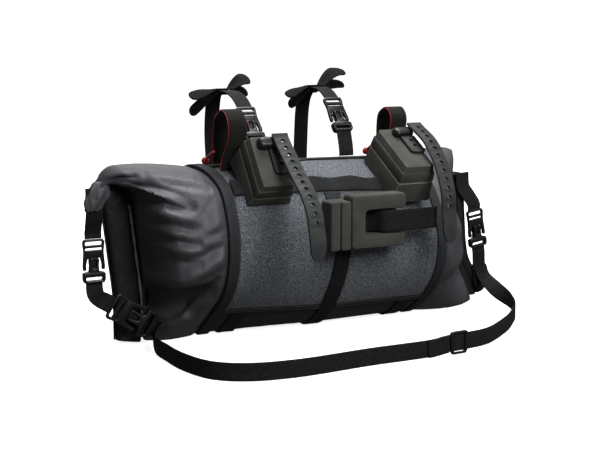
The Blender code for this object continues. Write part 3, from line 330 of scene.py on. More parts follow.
# folds in millimetres: x and height of one end and of the other, width, depth (a valley below 0)
LEFT_FOLDS = [
    (-206, 82, -146, 112, 9, 8), (-196, 104, -150, 126, 6, -3), (-204, 56, -166, 66, 11, -14),
    (-207, 17, -182, 46, 5, -9), (-182, 46, -156, 82, 5, -7), (-210, 10, -176, 34, 6, 5),
    (-236, 176, -184, 166, 6, -10), (-214, 160, -178, 150, 5, 4), (-258, 190, -232, 198, 3, -6),
    (-260, 184, -226, 191, 3, 3), (-150, 152, -186, 112, 9, 2), (-156, 172, -196, 132, 6, -2),
    (-226, 152, -190, 144, 4, -3), (-224, 144, -188, 134, 4, 2.5), (-218, 132, -180, 126, 4, -3),
    (-214, 122, -176, 118, 4, 2.5), (-172, 122, -146, 130, 4, 2), (-170, 134, -146, 141, 4, -2),
    (-208, 108, -180, 104, 5, -3), (-160, 190, -214, 198, 4, 2), (-158, 182, -206, 192, 4, -2),
]
RIGHT_FOLDS = [
    (150, 40, 205, 70, 10, -4), (155, 62, 210, 100, 11, 3), (160, 150, 215, 128, 12, -3),
    (205, 40, 232, 30, 8, -4), (150, 120, 190, 110, 10, 2), (228, 60, 228, 130, 8, -3),
]
# the folds are shallower behind
BACK_FOLDS = 0.6


def fold_lift(folds, x, z):
    """How far the folds move the cloth outward at a place."""
    total = 0.0
    for x0, z0, x1, z1, width, depth in folds:
        dx, dz = x1 - x0, z1 - z0
        share = ((x - x0) * dx + (z - z0) * dz) / (dx * dx + dz * dz)
        held = max(0.0, min(1.0, share))
        away = math.hypot(x - x0 - held * dx, z - z0 - held * dz) / width
        total += depth * math.exp(-away * away) * (0.6 + 0.4 * math.sin(math.pi * held))
    return total


def end_point(side, t, angle):
    """A point of an end with its folds."""
    here = end_plain(side, t, angle)
    ahead = end_plain(side, min(1.0, t + 0.02), angle) - end_plain(side, t - 0.02, angle)
    round_way = end_plain(side, t, angle + 1.5) - end_plain(side, t, angle - 1.5)
    normal = round_way.cross(ahead) * side
    folds = LEFT_FOLDS if side < 0 else RIGHT_FOLDS
    lift = fold_lift(folds, here.x / MM, here.z / MM) * MM
    if here.y > 0:
        lift *= BACK_FOLDS
    fade = ease(t, 0.02, 0.16) * (1 - ease(t, 0.95, 1.0)) * ease(here.z, 0.004, 0.03)
    if normal.length:
        here -= normal.normalized() * lift * fade
    here.z = max(0.0, here.z)
    return here


AROUND, END_STEPS, MID_STEPS = 340, 54, 10
BAG_LIFT = -WALL - GAP
CLOTH_THICK = 0.0012
turns = [-90 + 360 * k / AROUND for k in range(AROUND)]
rings = [[end_point(-1, 1 - k / END_STEPS, a) for a in turns] for k in range(END_STEPS)]
rings += [[on_bag(-HALF + 2 * HALF * k / MID_STEPS, a, BAG_LIFT) for a in turns]
          for k in range(MID_STEPS + 1)]
rings += [[end_point(1, (k + 1) / END_STEPS, a) for a in turns] for k in range(END_STEPS)]
faces = []
for row in range(len(rings) - 1):
    for k in range(AROUND):
        a, b = row * AROUND + k, row * AROUND + (k + 1) % AROUND
        faces.append((a, b, b + AROUND, a + AROUND))
dry_bag = mesh_piece("dry_bag_cloth", [p for ring in rings for p in ring], faces, nylon, sharp=80)
shell = dry_bag.modifiers.new("cloth_thickness", "SOLIDIFY")
shell.thickness = CLOTH_THICK
shell.offset = -1
done(dry_bag, "coated_cloth", "dry_bag")


# Rolled mouths. The flat mouth has a stiff strip welded in and is rolled over it about three
# times, so each roll is a flat bar of layers whose spiral shows at its two ends. The left roll
# stands out from the bag, the right one lies folded to the back.
ROLL_WIDE, ROLL_THICK, ROLL_FOLD = 0.034, 0.019, 0.007
ROLL_TURNS, TURN_STEPS, LAYER = 3.0, 28, 0.0024


def smooth(points, per_span):
    """A Catmull-Rom curve through points, as tuples of any length."""
    ends = [points[0], *points, points[-1]]
    path = [tuple(curve(*values, step / per_span) for values in zip(*ends[i - 1:i + 3]))
            for i in range(1, len(ends) - 2) for step in range(per_span)]
    return path + [tuple(points[-1])]


def frames_along(path, across):
    """Place, width way and normal at each point of a path."""
    frames = []
    for i, point in enumerate(path):
        ahead, behind = Vector(path[min(i + 1, len(path) - 1)]), Vector(path[max(i - 1, 0)])
        tangent = (ahead - behind).normalized()
        wide = Vector(across[i] if isinstance(across, list) else across)
        wide = (wide - wide.dot(tangent) * tangent).normalized()
        frames.append((Vector(point), wide, wide.cross(tangent)))
    return frames


def loft(name, rings, finish, sharp=40):
    """A closed solid through rings of equal count."""
    count = len(rings[0])
    faces = [tuple(range(count)), tuple(range((len(rings) - 1) * count, len(rings) * count))]
    for row in range(len(rings) - 1):
        for side in range(count):
            a, b = row * count + side, row * count + (side + 1) % count
            faces.append((a, b, b + count, a + count))
    return mesh_piece(name, [p for ring in rings for p in ring], faces, finish, sharp=sharp)


def spiral_section():
    """A flat spiral of cloth as one closed outline, in metres of the wide and thick way."""
    outside, inside = [], []
    flat = (ROLL_WIDE - ROLL_THICK) / 2
    for k in range(int(ROLL_TURNS * TURN_STEPS) + 1):
        turn = math.tau * k / TURN_STEPS
        for line, half in ((outside, 0.0), (inside, LAYER * 0.72)):
            thick = max(0.0004, ROLL_THICK / 2 - LAYER * k / TURN_STEPS - half)
            shift = flat * max(-1.0, min(1.0, 2.4 * math.cos(turn)))
            line.append((shift + thick * math.cos(turn), thick * math.sin(turn)))
    return outside + inside[::-1]


def roll(label, side, depth, y, turned, route):
    """A rolled mouth along a route of (out by depth, height by the bag's diameter). It returns
    the path of its middle."""
    heights = [up * 2 * RADIUS for _, up in route]
    path = smooth([(side * (mouth_reach(side, height) + GAP + out * depth), y, height)
                   for (out, _), height in zip(route, heights)], 5)
    rings = []
    for centre, across, normal in frames_along(path, (0, 1, 0)):
        wide, thin = (across, normal) if turned else (normal * side, across)
        rings.append([centre + wide * w + thin * t for w, t in spiral_section()])
    # the roll is drawn in the darker copy of the nylon, which is painted shade
    done(loft("rolled_mouth_" + label, rings, nylon_painted_shade, 50), "coated_cloth", "roll_" + label)
    return path


left_path = roll("left", -1, ROLL_WIDE, 0.0, False, [
    (0.60, 0.012), (0.57, 0.036), (0.55, 0.10), (0.52, 0.28), (0.51, 0.50), (0.50, 0.66),
    (0.50, 0.78), (0.56, 0.835), (0.66, 0.880)])
right_path = roll("right", 1, ROLL_THICK, ROLL_FOLD, True, [
    (0.92, 0.065), (0.90, 0.15), (0.70, 0.26), (0.55, 0.38), (0.52, 0.56), (0.53, 0.74),
    (0.56, 0.86)])
# where the straps are sewn: near the foot of the left roll, and at the top of both
left_foot, right_horn = Vector(left_path[5]), right_path[-1]
left_horn = Vector((-HALF - 0.11609, 0.0, 0.177))

# the roll's inner edge gets a raised rim ticked by its stitches, in a paler copy of the nylon: a
# painted highlight where the folded edge catches the light
HEM_WIDE, HEM_THICK, HEM_FROM, HEM_TO = 0.0016, 0.0012, 0.012, 0.163
rim_line = [Vector(p) + Vector((ROLL_WIDE / 2 - 0.0030, -ROLL_THICK / 2 - 0.0002, 0))
            for p in left_path if HEM_FROM < p[2] < HEM_TO]
rim_rings = []
for k, (place_at, wide_way, out_way) in enumerate(frames_along(rim_line, (1, 0, 0))):
    swell = 1.0 + 0.25 * math.sin(k * 1.7) + 0.15 * math.sin(k * 3.1)
    rim_rings.append([place_at + wide_way * HEM_WIDE * swell * math.cos(a)
                      + out_way * HEM_THICK * math.sin(a)
                      for a in (math.tau * i / 10 for i in range(10))])
done(loft("rolled_mouth_left_rim_painted_highlight", rim_rings, hem_painted_highlight, 80), "coated_cloth")


GATHER_STEPS, GATHER_SIDES = 12, 40


def gather(name, top, bottom, wide, thick):
    """Cloth gathered over a strap's sewn top: a small flattened puff with pinched pleats."""
    rings = []
    for k in range(GATHER_STEPS + 1):
        s = k / GATHER_STEPS
        size = math.sin(math.pi * (0.12 + 0.80 * s)) ** 0.45
        centre = Vector(top).lerp(Vector(bottom), s)
        rings.append([])
        for i in range(GATHER_SIDES):
            a = math.tau * i / GATHER_SIDES
            pleat = 1 + 0.16 * math.sin(5 * a + 4.2 * s) + 0.09 * math.sin(9 * a - 7.0 * s)
            rings[-1].append(centre + Vector((wide * math.cos(a), thick * math.sin(a), 0))
                             * size * pleat)
    return done(loft(name, rings, nylon, 80), "coated_cloth")


gather("hood_gather_left", (-0.2585, -0.0090, 0.1895), (-0.2710, -0.0110, 0.1570), 0.0125, 0.0055)


def mouth_neck(label, side, rows, half):
    """The flat cloth between a mouth and its roll. rows give height, start and end from the
    mouth in metres."""
    rings = []
    for height, start, end in rows:
        near = side * (mouth_reach(side, height) + start)
        far = side * (mouth_reach(side, height) + end)
        rings.append([Vector((near + (far - near) * s, w * half, height)) for s, w in (
            (0.0, 0.6), (0.3, 1.0), (0.7, 1.0), (1.0, 0.4), (1.0, -0.4), (0.7, -1.0),
            (0.3, -1.0), (0.0, -0.6))])
    # the neck is drawn in the darker copy of the nylon, which is painted shade
    return done(loft("mouth_neck_" + label, rings, nylon_painted_shade, 60), "coated_cloth")


mouth_neck("left", -1, [(0.006, -0.006, 0.012), (0.050, -0.008, 0.012), (0.150, -0.008, 0.012),
                        (0.162, -0.010, 0.020), (0.172, -0.012, 0.027), (0.181, -0.014, 0.018),
                        (0.187, -0.020, 0.006), (0.191, -0.030, -0.020)], 0.0045)
mouth_neck("right", 1, [(0.008, -0.006, 0.010), (0.100, -0.008, 0.008), (0.172, -0.008, 0.008)],
           0.0060)


# Harness cloth. Three panels cut from woven polyester and sewn edge to edge: a melange of
# dark and light yarns over the front and top, and plain black under and behind the bag.
def band(name, place, length, width, thickness, finish, step=0.003, across=8, share=None):
    """A closed flat band with rounded edges. place(u, v, h) puts a point that lies u along it,
    v across it and h over its middle layer. share(u) narrows it."""
    rim = thickness / 2
    rows = max(2, math.ceil(length / step))
    flat = [(2 * i / across - 1, 0, 1) for i in range(across + 1)]
    arc = [(1, math.cos(a), math.sin(a)) for a in (math.pi / 4, 0, -math.pi / 4)]
    ring = flat + arc + [(w, 0, -1) for w, _, _ in flat[::-1]]
    ring += [(-1, -c, -s) for _, c, s in arc]
    points, uv = [], []
    for row in range(rows + 1):
        u = length * row / rows
        half = (width / 2 - rim) * (share(u) if share else 1.0)
        for w, out, up in ring:
            v = w * half + out * rim
            points.append(place(u, v, up * rim))
            uv.append((u, v))
    count, faces = len(ring), []
    for row in range(rows):
        for side in range(count):
            a, b = row * count + side, row * count + (side + 1) % count
            faces.append((a, b, b + count, a + count))
    for start in (0, rows * count):
        partner = 2 * across + 4
        faces += [(start + i, start + i + 1, start + partner - i - 1, start + partner - i)
                  for i in range(across)]
        faces.append(tuple(start + across + k for k in range(5)))
        faces.append((start, *[start + partner + k for k in range(4)]))
    return mesh_piece(name, points, faces, finish, uv)


def melange_polyester():
    """Woven polyester of mixed dark and light yarns: a matt blue grey full of pale specks.
    The yarns are about 0.5 mm; the specks are drawn at 1 mm, which is what the eye groups."""
    made, tree, shader, where = new_finish("melange_polyester", 0.88, Sheen_Weight=0.12,
                                           Sheen_Roughness=0.5, Specular_IOR_Level=0.25)
    speck = add(tree, "TexNoise", Vector=where, Scale=1000.0, Detail=2.0, Roughness=0.7)
    yarns = add(tree, "ValToRGB", Fac=speck.outputs["Fac"],
                stops=[(0.34, "272a2e"), (0.50, "55595f"), (0.62, "878b91"), (0.74, "c2c5c8")])
    broad = add(tree, "TexNoise", Vector=where, Scale=18.0, Detail=2.0)
    tone = add(tree, "MapRange", Value=broad.outputs["Fac"], To_Min=0.88, To_Max=1.10)
    mixed = add(tree, "HueSaturation", Color=yarns.outputs["Color"], Value=tone.outputs["Result"])
    tree.links.new(mixed.outputs["Color"], shader.inputs["Base Color"])
    nap = add(tree, "Bump", Strength=0.35, Distance=0.0006, Height=speck.outputs["Fac"])
    tree.links.new(nap.outputs["Normal"], shader.inputs["Normal"])
    return made


def grained(name, roughness, pattern, shades, bump, **inputs):
    """A finish whose one pattern drives its colour and a small relief. pattern is a texture
    with its settings, and bump the relief's strength and its depth in metres."""
    made, tree, shader, where = new_finish(name, roughness, **inputs)
    kind, settings = pattern
    grain = add(tree, kind, Vector=where, **settings)
    height = grain.outputs["Distance" if kind == "TexVoronoi" else "Fac"]
    shade = add(tree, "ValToRGB", Fac=height, stops=shades)
    tree.links.new(shade.outputs["Color"], shader.inputs["Base Color"])
    strength, depth = bump
    relief = add(tree, "Bump", Strength=strength, Distance=depth, Height=height)
    tree.links.new(relief.outputs["Normal"], shader.inputs["Normal"])
    return made


# the same weave in one black yarn, with a coat behind: matt, with a faint canvas grain
black_canvas = grained("black_polyester_canvas", 0.78,
                       ("TexNoise", {"Scale": 700.0, "Detail": 2.0}),
                       [(0.35, "15191a"), (0.65, "252a2b")], (0.3, 0.0005), Sheen_Weight=0.05,
                       Specular_IOR_Level=0.25)


def round_bag(x, start, lift, scale=RADIUS):
    """Places a band that runs round the bag at x from a start angle."""
    return lambda u, v, h: on_bag(x + v, start + math.degrees(u / scale), lift + h)


GREY_START, GREY_END, SEAM = -46.0, 80.0, 0.4
for name, start, end, cloth, slot in (
        ("grey_panel", GREY_START, GREY_END, melange_polyester(), "speckled_cloth"),
        ("base_panel", -130.0, GREY_START - SEAM, black_canvas, "black_cloth"),
        ("back_panel", GREY_END + SEAM, 230.0 - SEAM, black_canvas, "black_cloth")):
    panel = band(name + "_cloth", round_bag(0.0, start, -WALL / 2),
                 math.radians(end - start) * RADIUS, 2 * HALF, WALL, cloth, step=0.0025, across=90)
    done(panel, slot, name)


# Bindings. Grosgrain tape folded over each raw edge of the harness and run through with two
# rows of lockstitch. A narrower tape covers the seams along the grey cloth.
def binding_tape():
    """Ribbed polyester grosgrain: black, a little glossier than the cloth, with fine cross
    ribs. The 0.8 mm ribs are drawn at 1.6 mm."""
    made, tree, shader, where = new_finish("grosgrain_tape", 0.70, Specular_IOR_Level=0.2)
    across = add(tree, "SeparateXYZ", Vector=add(tree, "UVMap", {"uv_map": "cloth"}).outputs["UV"])
    rib = add(tree, "Math", {"operation": "SINE"},
              i0=add(tree, "Math", {"operation": "MULTIPLY"}, i0=across.outputs["X"],
                     i1=math.tau / 0.0016).outputs[0])
    fuzz = add(tree, "TexNoise", Vector=where, Scale=500.0, Detail=2.0)
    shade = add(tree, "ValToRGB", Fac=fuzz.outputs["Fac"],
                stops=[(0.3, "232426"), (0.7, "333437")])
    tree.links.new(shade.outputs["Color"], shader.inputs["Base Color"])
    relief = add(tree, "Bump", Strength=0.3, Distance=0.0004, Height=rib.outputs[0])
    tree.links.new(relief.outputs["Normal"], shader.inputs["Normal"])
    return made


def thread_finish():
    """Bonded nylon thread: black with a slight waxed shine."""
    made, tree, shader, where = new_finish("bonded_nylon_thread", 0.45)
    twist = add(tree, "TexNoise", Vector=where, Scale=900.0)
    shade = add(tree, "ValToRGB", Fac=twist.outputs["Fac"],
                stops=[(0.3, "303235"), (0.7, "4a4c50")])
    tree.links.new(shade.outputs["Color"], shader.inputs["Base Color"])
    return made


tape, thread = binding_tape(), thread_finish()
STITCH, STITCH_GAP, STITCH_THICK = 0.0026, 0.0012, 0.0006


def stitches(name, place, length, rows):
    """Rows of single stitches, each a small six-sided loop of thread pulled into the cloth."""
    points, faces = [], []
    count = int(length / (STITCH + STITCH_GAP))
    for offset in rows:
        for k in range(count):
            start = (k + 0.5) * length / count - STITCH / 2
            rings = []
            for share, thick in ((0.0, 0.3), (0.2, 0.9), (0.8, 0.9), (1.0, 0.3)):
                u = start + share * STITCH
                rings.append([place(u, offset + STITCH_THICK / 2 * thick * math.cos(a),
                                    STITCH_THICK / 2 * thick * math.sin(a))
                              for a in (math.tau * s / 6 for s in range(6))])
            low = len(points)
            points += [p for ring in rings for p in ring]
            faces += [tuple(low + s for s in range(6)), tuple(low + 18 + s for s in range(6))]
            faces += [(low + 6 * r + s, low + 6 * r + (s + 1) % 6, low + 6 * r + 6 + (s + 1) % 6,
                       low + 6 * r + 6 + s) for r in range(3) for s in range(6)]
    return done(mesh_piece(name, points, faces, thread), "webbing")


BINDING, BINDING_ROWS = 0.013, 210
EDGE_TAPE = 0.007
EDGE_SPAN = math.degrees(EDGE_TAPE / RADIUS)
TRIM_MID = TRIM_GAP + WEB_THICK / 2
TRIM_TOP = TRIM_GAP + WEB_THICK
OVER_TRIM = TRIM_TOP + GAP
for side, label in ((-1, "left"), (1, "right")):
    middle = side * (HALF - BINDING / 2 - 0.0002)
    place = round_bag(middle, -90.0, TRIM_MID)
    ring_points, ring_uv, ring_faces = [], [], []
    # the tape's section in shares of its half width and thickness: its outer edge turns down
    # over the raw edge of the cloth
    section = [(-1, -1), (-1, 0.4), (-0.9, 1), (-0.45, 1.12), (0, 1.0), (0.45, 1.12), (0.9, 1),
               (1.04, 0.5), (1.12, -0.6), (1.12, -5.0), (1.04, -5.0), (1.03, -1.2), (0.9, -1.0)]
    for row in range(BINDING_ROWS):
        for w, up in section:
            v = side * w * (BINDING / 2 - 0.0002)
            angle = -90 + 360 * row / BINDING_ROWS
            ring_points.append(on_bag(middle + v, angle, TRIM_MID + up * WEB_THICK / 2))
            ring_uv.append((math.radians(angle) * RADIUS, v))
    count = len(section)
    for row in range(BINDING_ROWS):
        after = (row + 1) % BINDING_ROWS
        for k in range(count):
            nxt = (k + 1) % count
            ring_faces.append((row * count + k, row * count + nxt, after * count + nxt,
                               after * count + k))
    done(mesh_piece("binding_tape_" + label, ring_points, ring_faces, tape, ring_uv), "webbing",
         "binding_" + label)
    stitches("binding_stitches_" + label, round_bag(middle, -85.0, TRIM_TOP), math.radians(350)
             * RADIUS, (-BINDING * 0.36, BINDING * 0.36))


def along_bag(start, angle, lift):
    """Places a band that runs along the bag at an angle up from the front."""
    return lambda u, v, h: on_bag(start + u, angle + math.degrees(v / RADIUS), lift + h)


INNER_END = HALF - BINDING - GAP
WEBBING = 0.020
CENTRE_HALF = WEBBING / 2 + GAP
for name, start, end, angle in (
        ("top_edge_binding", -INNER_END, INNER_END, GREY_END),
        ("base_edge_binding_left", -INNER_END, -CENTRE_HALF, GREY_START - EDGE_SPAN / 2),
        ("base_edge_binding_right", CENTRE_HALF, INNER_END, GREY_START - EDGE_SPAN / 2)):
    done(band(name + "_tape", along_bag(start, angle, TRIM_MID), end - start, EDGE_TAPE,
              WEB_THICK, tape), "webbing", name)
    stitches(name + "_stitches", along_bag(start, angle, TRIM_TOP), end - start,
             (-EDGE_TAPE * 0.32,))


# Sewn webbing. A daisy chain of 20 mm webbing runs along the upper front, bar-tacked every
# few centimetres so that it lifts between the tacks. One webbing runs down the middle and one
# under each end of the base.
def twill_webbing():
    """Polypropylene webbing in a herringbone weave: black with a low sheen and slanted picks
    that meet at the middle. The 1 mm picks are drawn at 2 mm."""
    made, tree, shader, where = new_finish("herringbone_webbing", 0.72, Specular_IOR_Level=0.15)
    across = add(tree, "SeparateXYZ", Vector=add(tree, "UVMap", {"uv_map": "cloth"}).outputs["UV"])
    slant = add(tree, "Math", {"operation": "ABSOLUTE"}, i0=across.outputs["Y"])
    run = add(tree, "Math", {"operation": "ADD"}, i0=across.outputs["X"], i1=slant.outputs[0])
    pick = add(tree, "Math", {"operation": "SINE"},
               i0=add(tree, "Math", {"operation": "MULTIPLY"}, i0=run.outputs[0],
                      i1=math.tau / 0.0020).outputs[0])
    fuzz = add(tree, "TexNoise", Vector=where, Scale=420.0, Detail=2.0)
    mixed = add(tree, "Math", {"operation": "MULTIPLY_ADD"}, i0=pick.outputs[0], i1=0.16,
                i2=fuzz.outputs["Fac"])
    shade = add(tree, "ValToRGB", Fac=mixed.outputs[0],
                stops=[(0.30, "131415"), (0.70, "28292a")])
    tree.links.new(shade.outputs["Color"], shader.inputs["Base Color"])
    relief = add(tree, "Bump", Strength=0.35, Distance=0.0005, Height=pick.outputs[0])
    tree.links.new(relief.outputs["Normal"], shader.inputs["Normal"])
    return made


webbing = twill_webbing()
DAISY_ANGLE, DAISY_FIRST, DAISY_PITCH, DAISY_LIFT = 46.5, 0.028, 0.052, 0.0036
WEB_SPAN = math.degrees(WEBBING / (RADIUS * 1.09))


def daisy_place(u, v, h):
    """The daisy chain lifts off the cloth between its bar tacks, most along its upper edge."""
    arch = math.sin(math.pi * ((u - DAISY_FIRST) / DAISY_PITCH % 1.0)) ** 2
    rise = DAISY_LIFT * arch * (0.65 + 0.35 * v / (WEBBING / 2))
    return on_bag(-INNER_END + u, DAISY_ANGLE + v / WEBBING * WEB_SPAN, TRIM_MID + rise + h)


done(band("daisy_chain", daisy_place, 2 * INNER_END, WEBBING, WEB_THICK, webbing), "webbing",
     "daisy_webbing")
for k in range(5):
    u = DAISY_FIRST + k * DAISY_PITCH
    stitches("bar_tack_%d" % k,
             lambda a, b, h, u=u: daisy_place(u + b, a - 0.008, h + WEB_THICK / 2 + 0.0002),
             0.016, (-0.0006, 0.0006))
TAB_SPAN = 6.0
tab_angle = DAISY_ANGLE - WEB_SPAN / 2 - SEAM - TAB_SPAN / 2
done(band("loop_tab", along_bag(-0.016, tab_angle, TRIM_MID), 0.020,
          math.radians(TAB_SPAN) * RADIUS, WEB_THICK, tape, step=0.002), "webbing", "webbing_tab")
STRAP_START = -118.0
done(band("centre_strap", round_bag(0.0, STRAP_START, TRIM_MID),
          math.radians(25.0 - STRAP_START) * RADIUS, WEBBING, WEB_THICK, webbing), "webbing",
     "centre_webbing")
base_end = GREY_START - EDGE_SPAN - SEAM
BASE_STRAPS = {"left": -0.110, "right": 0.112}
for label, x in BASE_STRAPS.items():
    done(band("base_strap_%s_webbing" % label, round_bag(x, STRAP_START, TRIM_MID),
              math.radians(base_end - STRAP_START) * RADIUS, WEBBING, WEB_THICK, webbing),
         "webbing", "base_strap_" + label)
for name, x in (("centre", 0.0), ("base_left", BASE_STRAPS["left"]),
                ("base_right", BASE_STRAPS["right"])):
    stitches(name + "_strap_stitches", round_bag(x, STRAP_START, TRIM_TOP),
             math.radians(70.0) * RADIUS, (-WEBBING * 0.42, WEBBING * 0.42))


# Side-release buckles. Each is moulded acetal in two parts: a plug with two spring arms and a
# socket with open sides. Webbing is sewn round a bar at each outer end.
# injection-moulded acetal: near black, waxy and satin from the spark-eroded mould
acetal = grained("moulded_acetal", 0.36, ("TexNoise", {"Scale": 1500.0, "Detail": 1.0}),
                 [(0.3, "101112"), (0.7, "191a1b")], (0.15, 0.0002), Specular_IOR_Level=0.5)


def rounded(corners, radius, steps=4):
    """A closed outline with each corner replaced by a small arc."""
    made = []
    for i, corner in enumerate(corners):
        here = Vector(corner)
        before = Vector(corners[i - 1]) - here
        after = Vector(corners[(i + 1) % len(corners)]) - here
        cut = min(radius, before.length * 0.45, after.length * 0.45)
        start, end = here + before.normalized() * cut, here + after.normalized() * cut
        made += [start.lerp(here, t / steps).lerp(here.lerp(end, t / steps), t / steps)
                 for t in range(steps + 1)]
    return made


def mirrored(half):
    """A closed outline from its right half, from the middle of one side round to the other."""
    return [(-half[0][0], half[0][1]), *half, *[(-x, y) for x, y in half[:0:-1]]]


def plate(name, outlines, thickness, edge, finish, to_world):
    """A moulded plate cut from outlines, the first its rim and the rest its windows. edge is
    the round on its rims, and to_world places a point of the plate."""
    flat = bpy.data.curves.new(name + "_outline", "CURVE")
    flat.dimensions = "2D"
    flat.fill_mode = "BOTH"
    flat.extrude = thickness / 2 - edge
    flat.bevel_depth = edge
    flat.bevel_resolution = 1
    flat.offset = -edge
    for corners in outlines:
        line = flat.splines.new("POLY")
        line.points.add(len(corners) - 1)
        for point, corner in zip(line.points, corners):
            point.co = (corner[0], corner[1], 0.0, 1.0)
        line.use_cyclic_u = True
    maker = bpy.data.objects.new(name + "_maker", flat)
    bpy.context.scene.collection.objects.link(maker)
    mesh = bpy.data.meshes.new_from_object(
        maker.evaluated_get(bpy.context.evaluated_depsgraph_get()))
    bpy.data.objects.remove(maker, do_unlink=True)
    bpy.data.curves.remove(flat)
    shape = bmesh.new()
    shape.from_mesh(mesh)
    bmesh.ops.remove_doubles(shape, verts=shape.verts, dist=1e-6)
    points = [to_world(*v.co) for v in shape.verts]
    shape.verts.index_update()
    faces = [[v.index for v in face.verts] for face in shape.faces]
    shape.free()
    bpy.data.meshes.remove(mesh)
    return mesh_piece(name, points, faces, finish, sharp=30)


def buckle(label, centre, along, across, length, width, thickness):
    """A fastened buckle. along runs from the plug's bar to the socket's. Its outlines are in
    shares of half the width and of the length."""
    axis = Vector(along).normalized()
    wide = Vector(across)
    wide = (wide - wide.dot(axis) * axis).normalized()
    rise = wide.cross(axis)
    middle = Vector(centre)

    def to_world(x, y, z):
        return middle + wide * x + axis * y + rise * z

    half, arm = width / 2, width * 0.16
    slot_half, slot_tall = width * 0.38, length * 0.080
    ends = [rounded(mirrored([(slot_half, way * length * 0.405 - slot_tall / 2),
                              (slot_half, way * length * 0.405 + slot_tall / 2)]),
                    slot_tall * 0.4) for way in (-1, 1)]
    plug = mirrored([
        (0.86 * half, -0.50 * length), (half, -0.44 * length), (0.90 * half, -0.20 * length),
        (half * 0.96, -0.02 * length), (half, 0.12 * length), (half * 0.97, 0.215 * length),
        (half - arm, 0.195 * length), (half - arm * 0.9, 0.10 * length),
        (half - arm * 1.35, -0.06 * length), (0.30 * half, -0.075 * length),
        (0.24 * half, 0.16 * length),
    ])
    ladder = rounded(mirrored([(slot_half, -0.30 * length), (slot_half, -0.25 * length)]), 0.001)
    piece = plate(label + "_plug_moulding", [rounded(plug, width * 0.05), ends[0], ladder],
                  thickness * 0.50, thickness * 0.10, acetal, to_world)
    done(piece, "buckle_plastic", label + "_plug")
    neck = half - arm * 1.75
    socket = mirrored([
        (0.86 * half, 0.50 * length), (half, 0.44 * length), (half, 0.27 * length),
        (neck, 0.235 * length), (neck * 0.92, 0.10 * length), (neck, -0.02 * length),
        (neck * 0.9, -0.075 * length),
    ])
    window = rounded(mirrored([(neck * 0.50, -0.045 * length), (neck * 0.30, 0.17 * length)]),
                     width * 0.06)
    piece = plate(label + "_socket_moulding", [rounded(socket, width * 0.05), ends[1], window],
                  thickness, thickness * 0.14, acetal, to_world)
    done(piece, "buckle_plastic", label + "_socket")


# Handlebar straps. Webbing is sewn down the back of the harness, stands up over the
# handlebar's place and comes down through a buckle to a short tail on the top front.
def route(points, across, per_span=8):
    """The length of a path and the function that places a band along it."""
    path = smooth(points, per_span)
    if isinstance(across, list):
        frames = frames_along(path, smooth(across, per_span))
    else:
        frames = frames_along(path, across)
    stops = [0.0]
    for (a, _, _), (b, _, _) in zip(frames, frames[1:]):
        stops.append(stops[-1] + (b - a).length)

    def place(u, v, h):
        k = max(0, min(len(frames) - 2, bisect_right(stops, u) - 1))
        t = (u - stops[k]) / (stops[k + 1] - stops[k])
        (p0, w0, n0), (p1, w1, n1) = frames[k], frames[k + 1]
        held = max(0.0, min(1.0, t))
        return (p0 + (p1 - p0) * t + w0.lerp(w1, held).normalized() * v
                + n0.lerp(n1, held).normalized() * h)

    return stops[-1], place


BAG_TOP = 2 * RADIUS
STRAP_THICK, STRAP_SPAN, STRAP_RISE = 0.002, 0.125, 0.084
STRAP_BACK = RADIUS + GAP + STRAP_THICK
SMALL_BUCKLE = (0.050, 0.026, 0.008)
BAR_STRAPS = {
    # x, then depth from the back and height over the bag as shares of the span and rise
    "left": (-0.075, [(0.00, -0.10), (-0.02, 0.38), (0.02, 0.78), (0.08, 0.93), (0.28, 0.985),
                      (0.50, 0.98), (0.66, 0.90), (0.765, 0.79)], (1.00, 0.36)),
    "right": (0.050, [(0.00, -0.10), (0.02, 0.38), (0.05, 0.70), (0.12, 0.90), (0.27, 1.00),
                      (0.45, 1.01), (0.57, 0.965), (0.665, 0.88)], (0.92, 0.40)),
}


def top_angle(x, y):
    """The angle up from the front where the bag's upper side passes a depth."""
    low, high = 0.0, 180.0
    for _ in range(30):
        middle = (low + high) / 2
        low, high = (middle, high) if outline(x, middle)[0] < y else (low, middle)
    return low


bar_routes = {}
for label, (x, upper, foot) in BAR_STRAPS.items():
    def at(depth, rise):
        """A point of the strap's side view, from shares of the span and the rise."""
        return x, STRAP_BACK - depth * STRAP_SPAN, BAG_TOP + rise * STRAP_RISE

    sewn = [tuple(on_bag(x, a, TRIM_GAP + STRAP_THICK / 2)) for a in (187.5, 180.0, 172.5)]
    length, place = route(sewn + [at(0.0, -0.75), at(0.0, -0.42)] + [at(*p) for p in upper],
                          (1, 0, 0))
    bar_routes[label] = (length, place)
    strap = band("bar_strap_%s_webbing" % label, place, length + 0.004, WEBBING, STRAP_THICK,
                 webbing)
    done(strap, "webbing", "bar_strap_" + label)
    top, bottom = Vector(at(*upper[-1])), Vector(at(*foot))
    down = (bottom - top).normalized()
    reach = SMALL_BUCKLE[0] / 2 + GAP
    buckle("bar_buckle_" + label, top + down * reach, down, (1, 0, 0), *SMALL_BUCKLE)
    out = top + down * (2 * reach)
    sew_y = out.y - 0.006
    seat = on_bag(x, top_angle(x, sew_y), OVER_TRIM + STRAP_THICK / 2)
    bend = seat + Vector((0, 0.001, 0.010))
    tail = [tuple(out - down * 0.004), tuple(out), tuple(bend), tuple(seat)]
    length, place = route(tail, (1, 0, 0))
    done(band("bar_strap_end_%s_webbing" % label, place, length, WEBBING, STRAP_THICK, webbing),
         "webbing", "bar_strap_end_" + label)


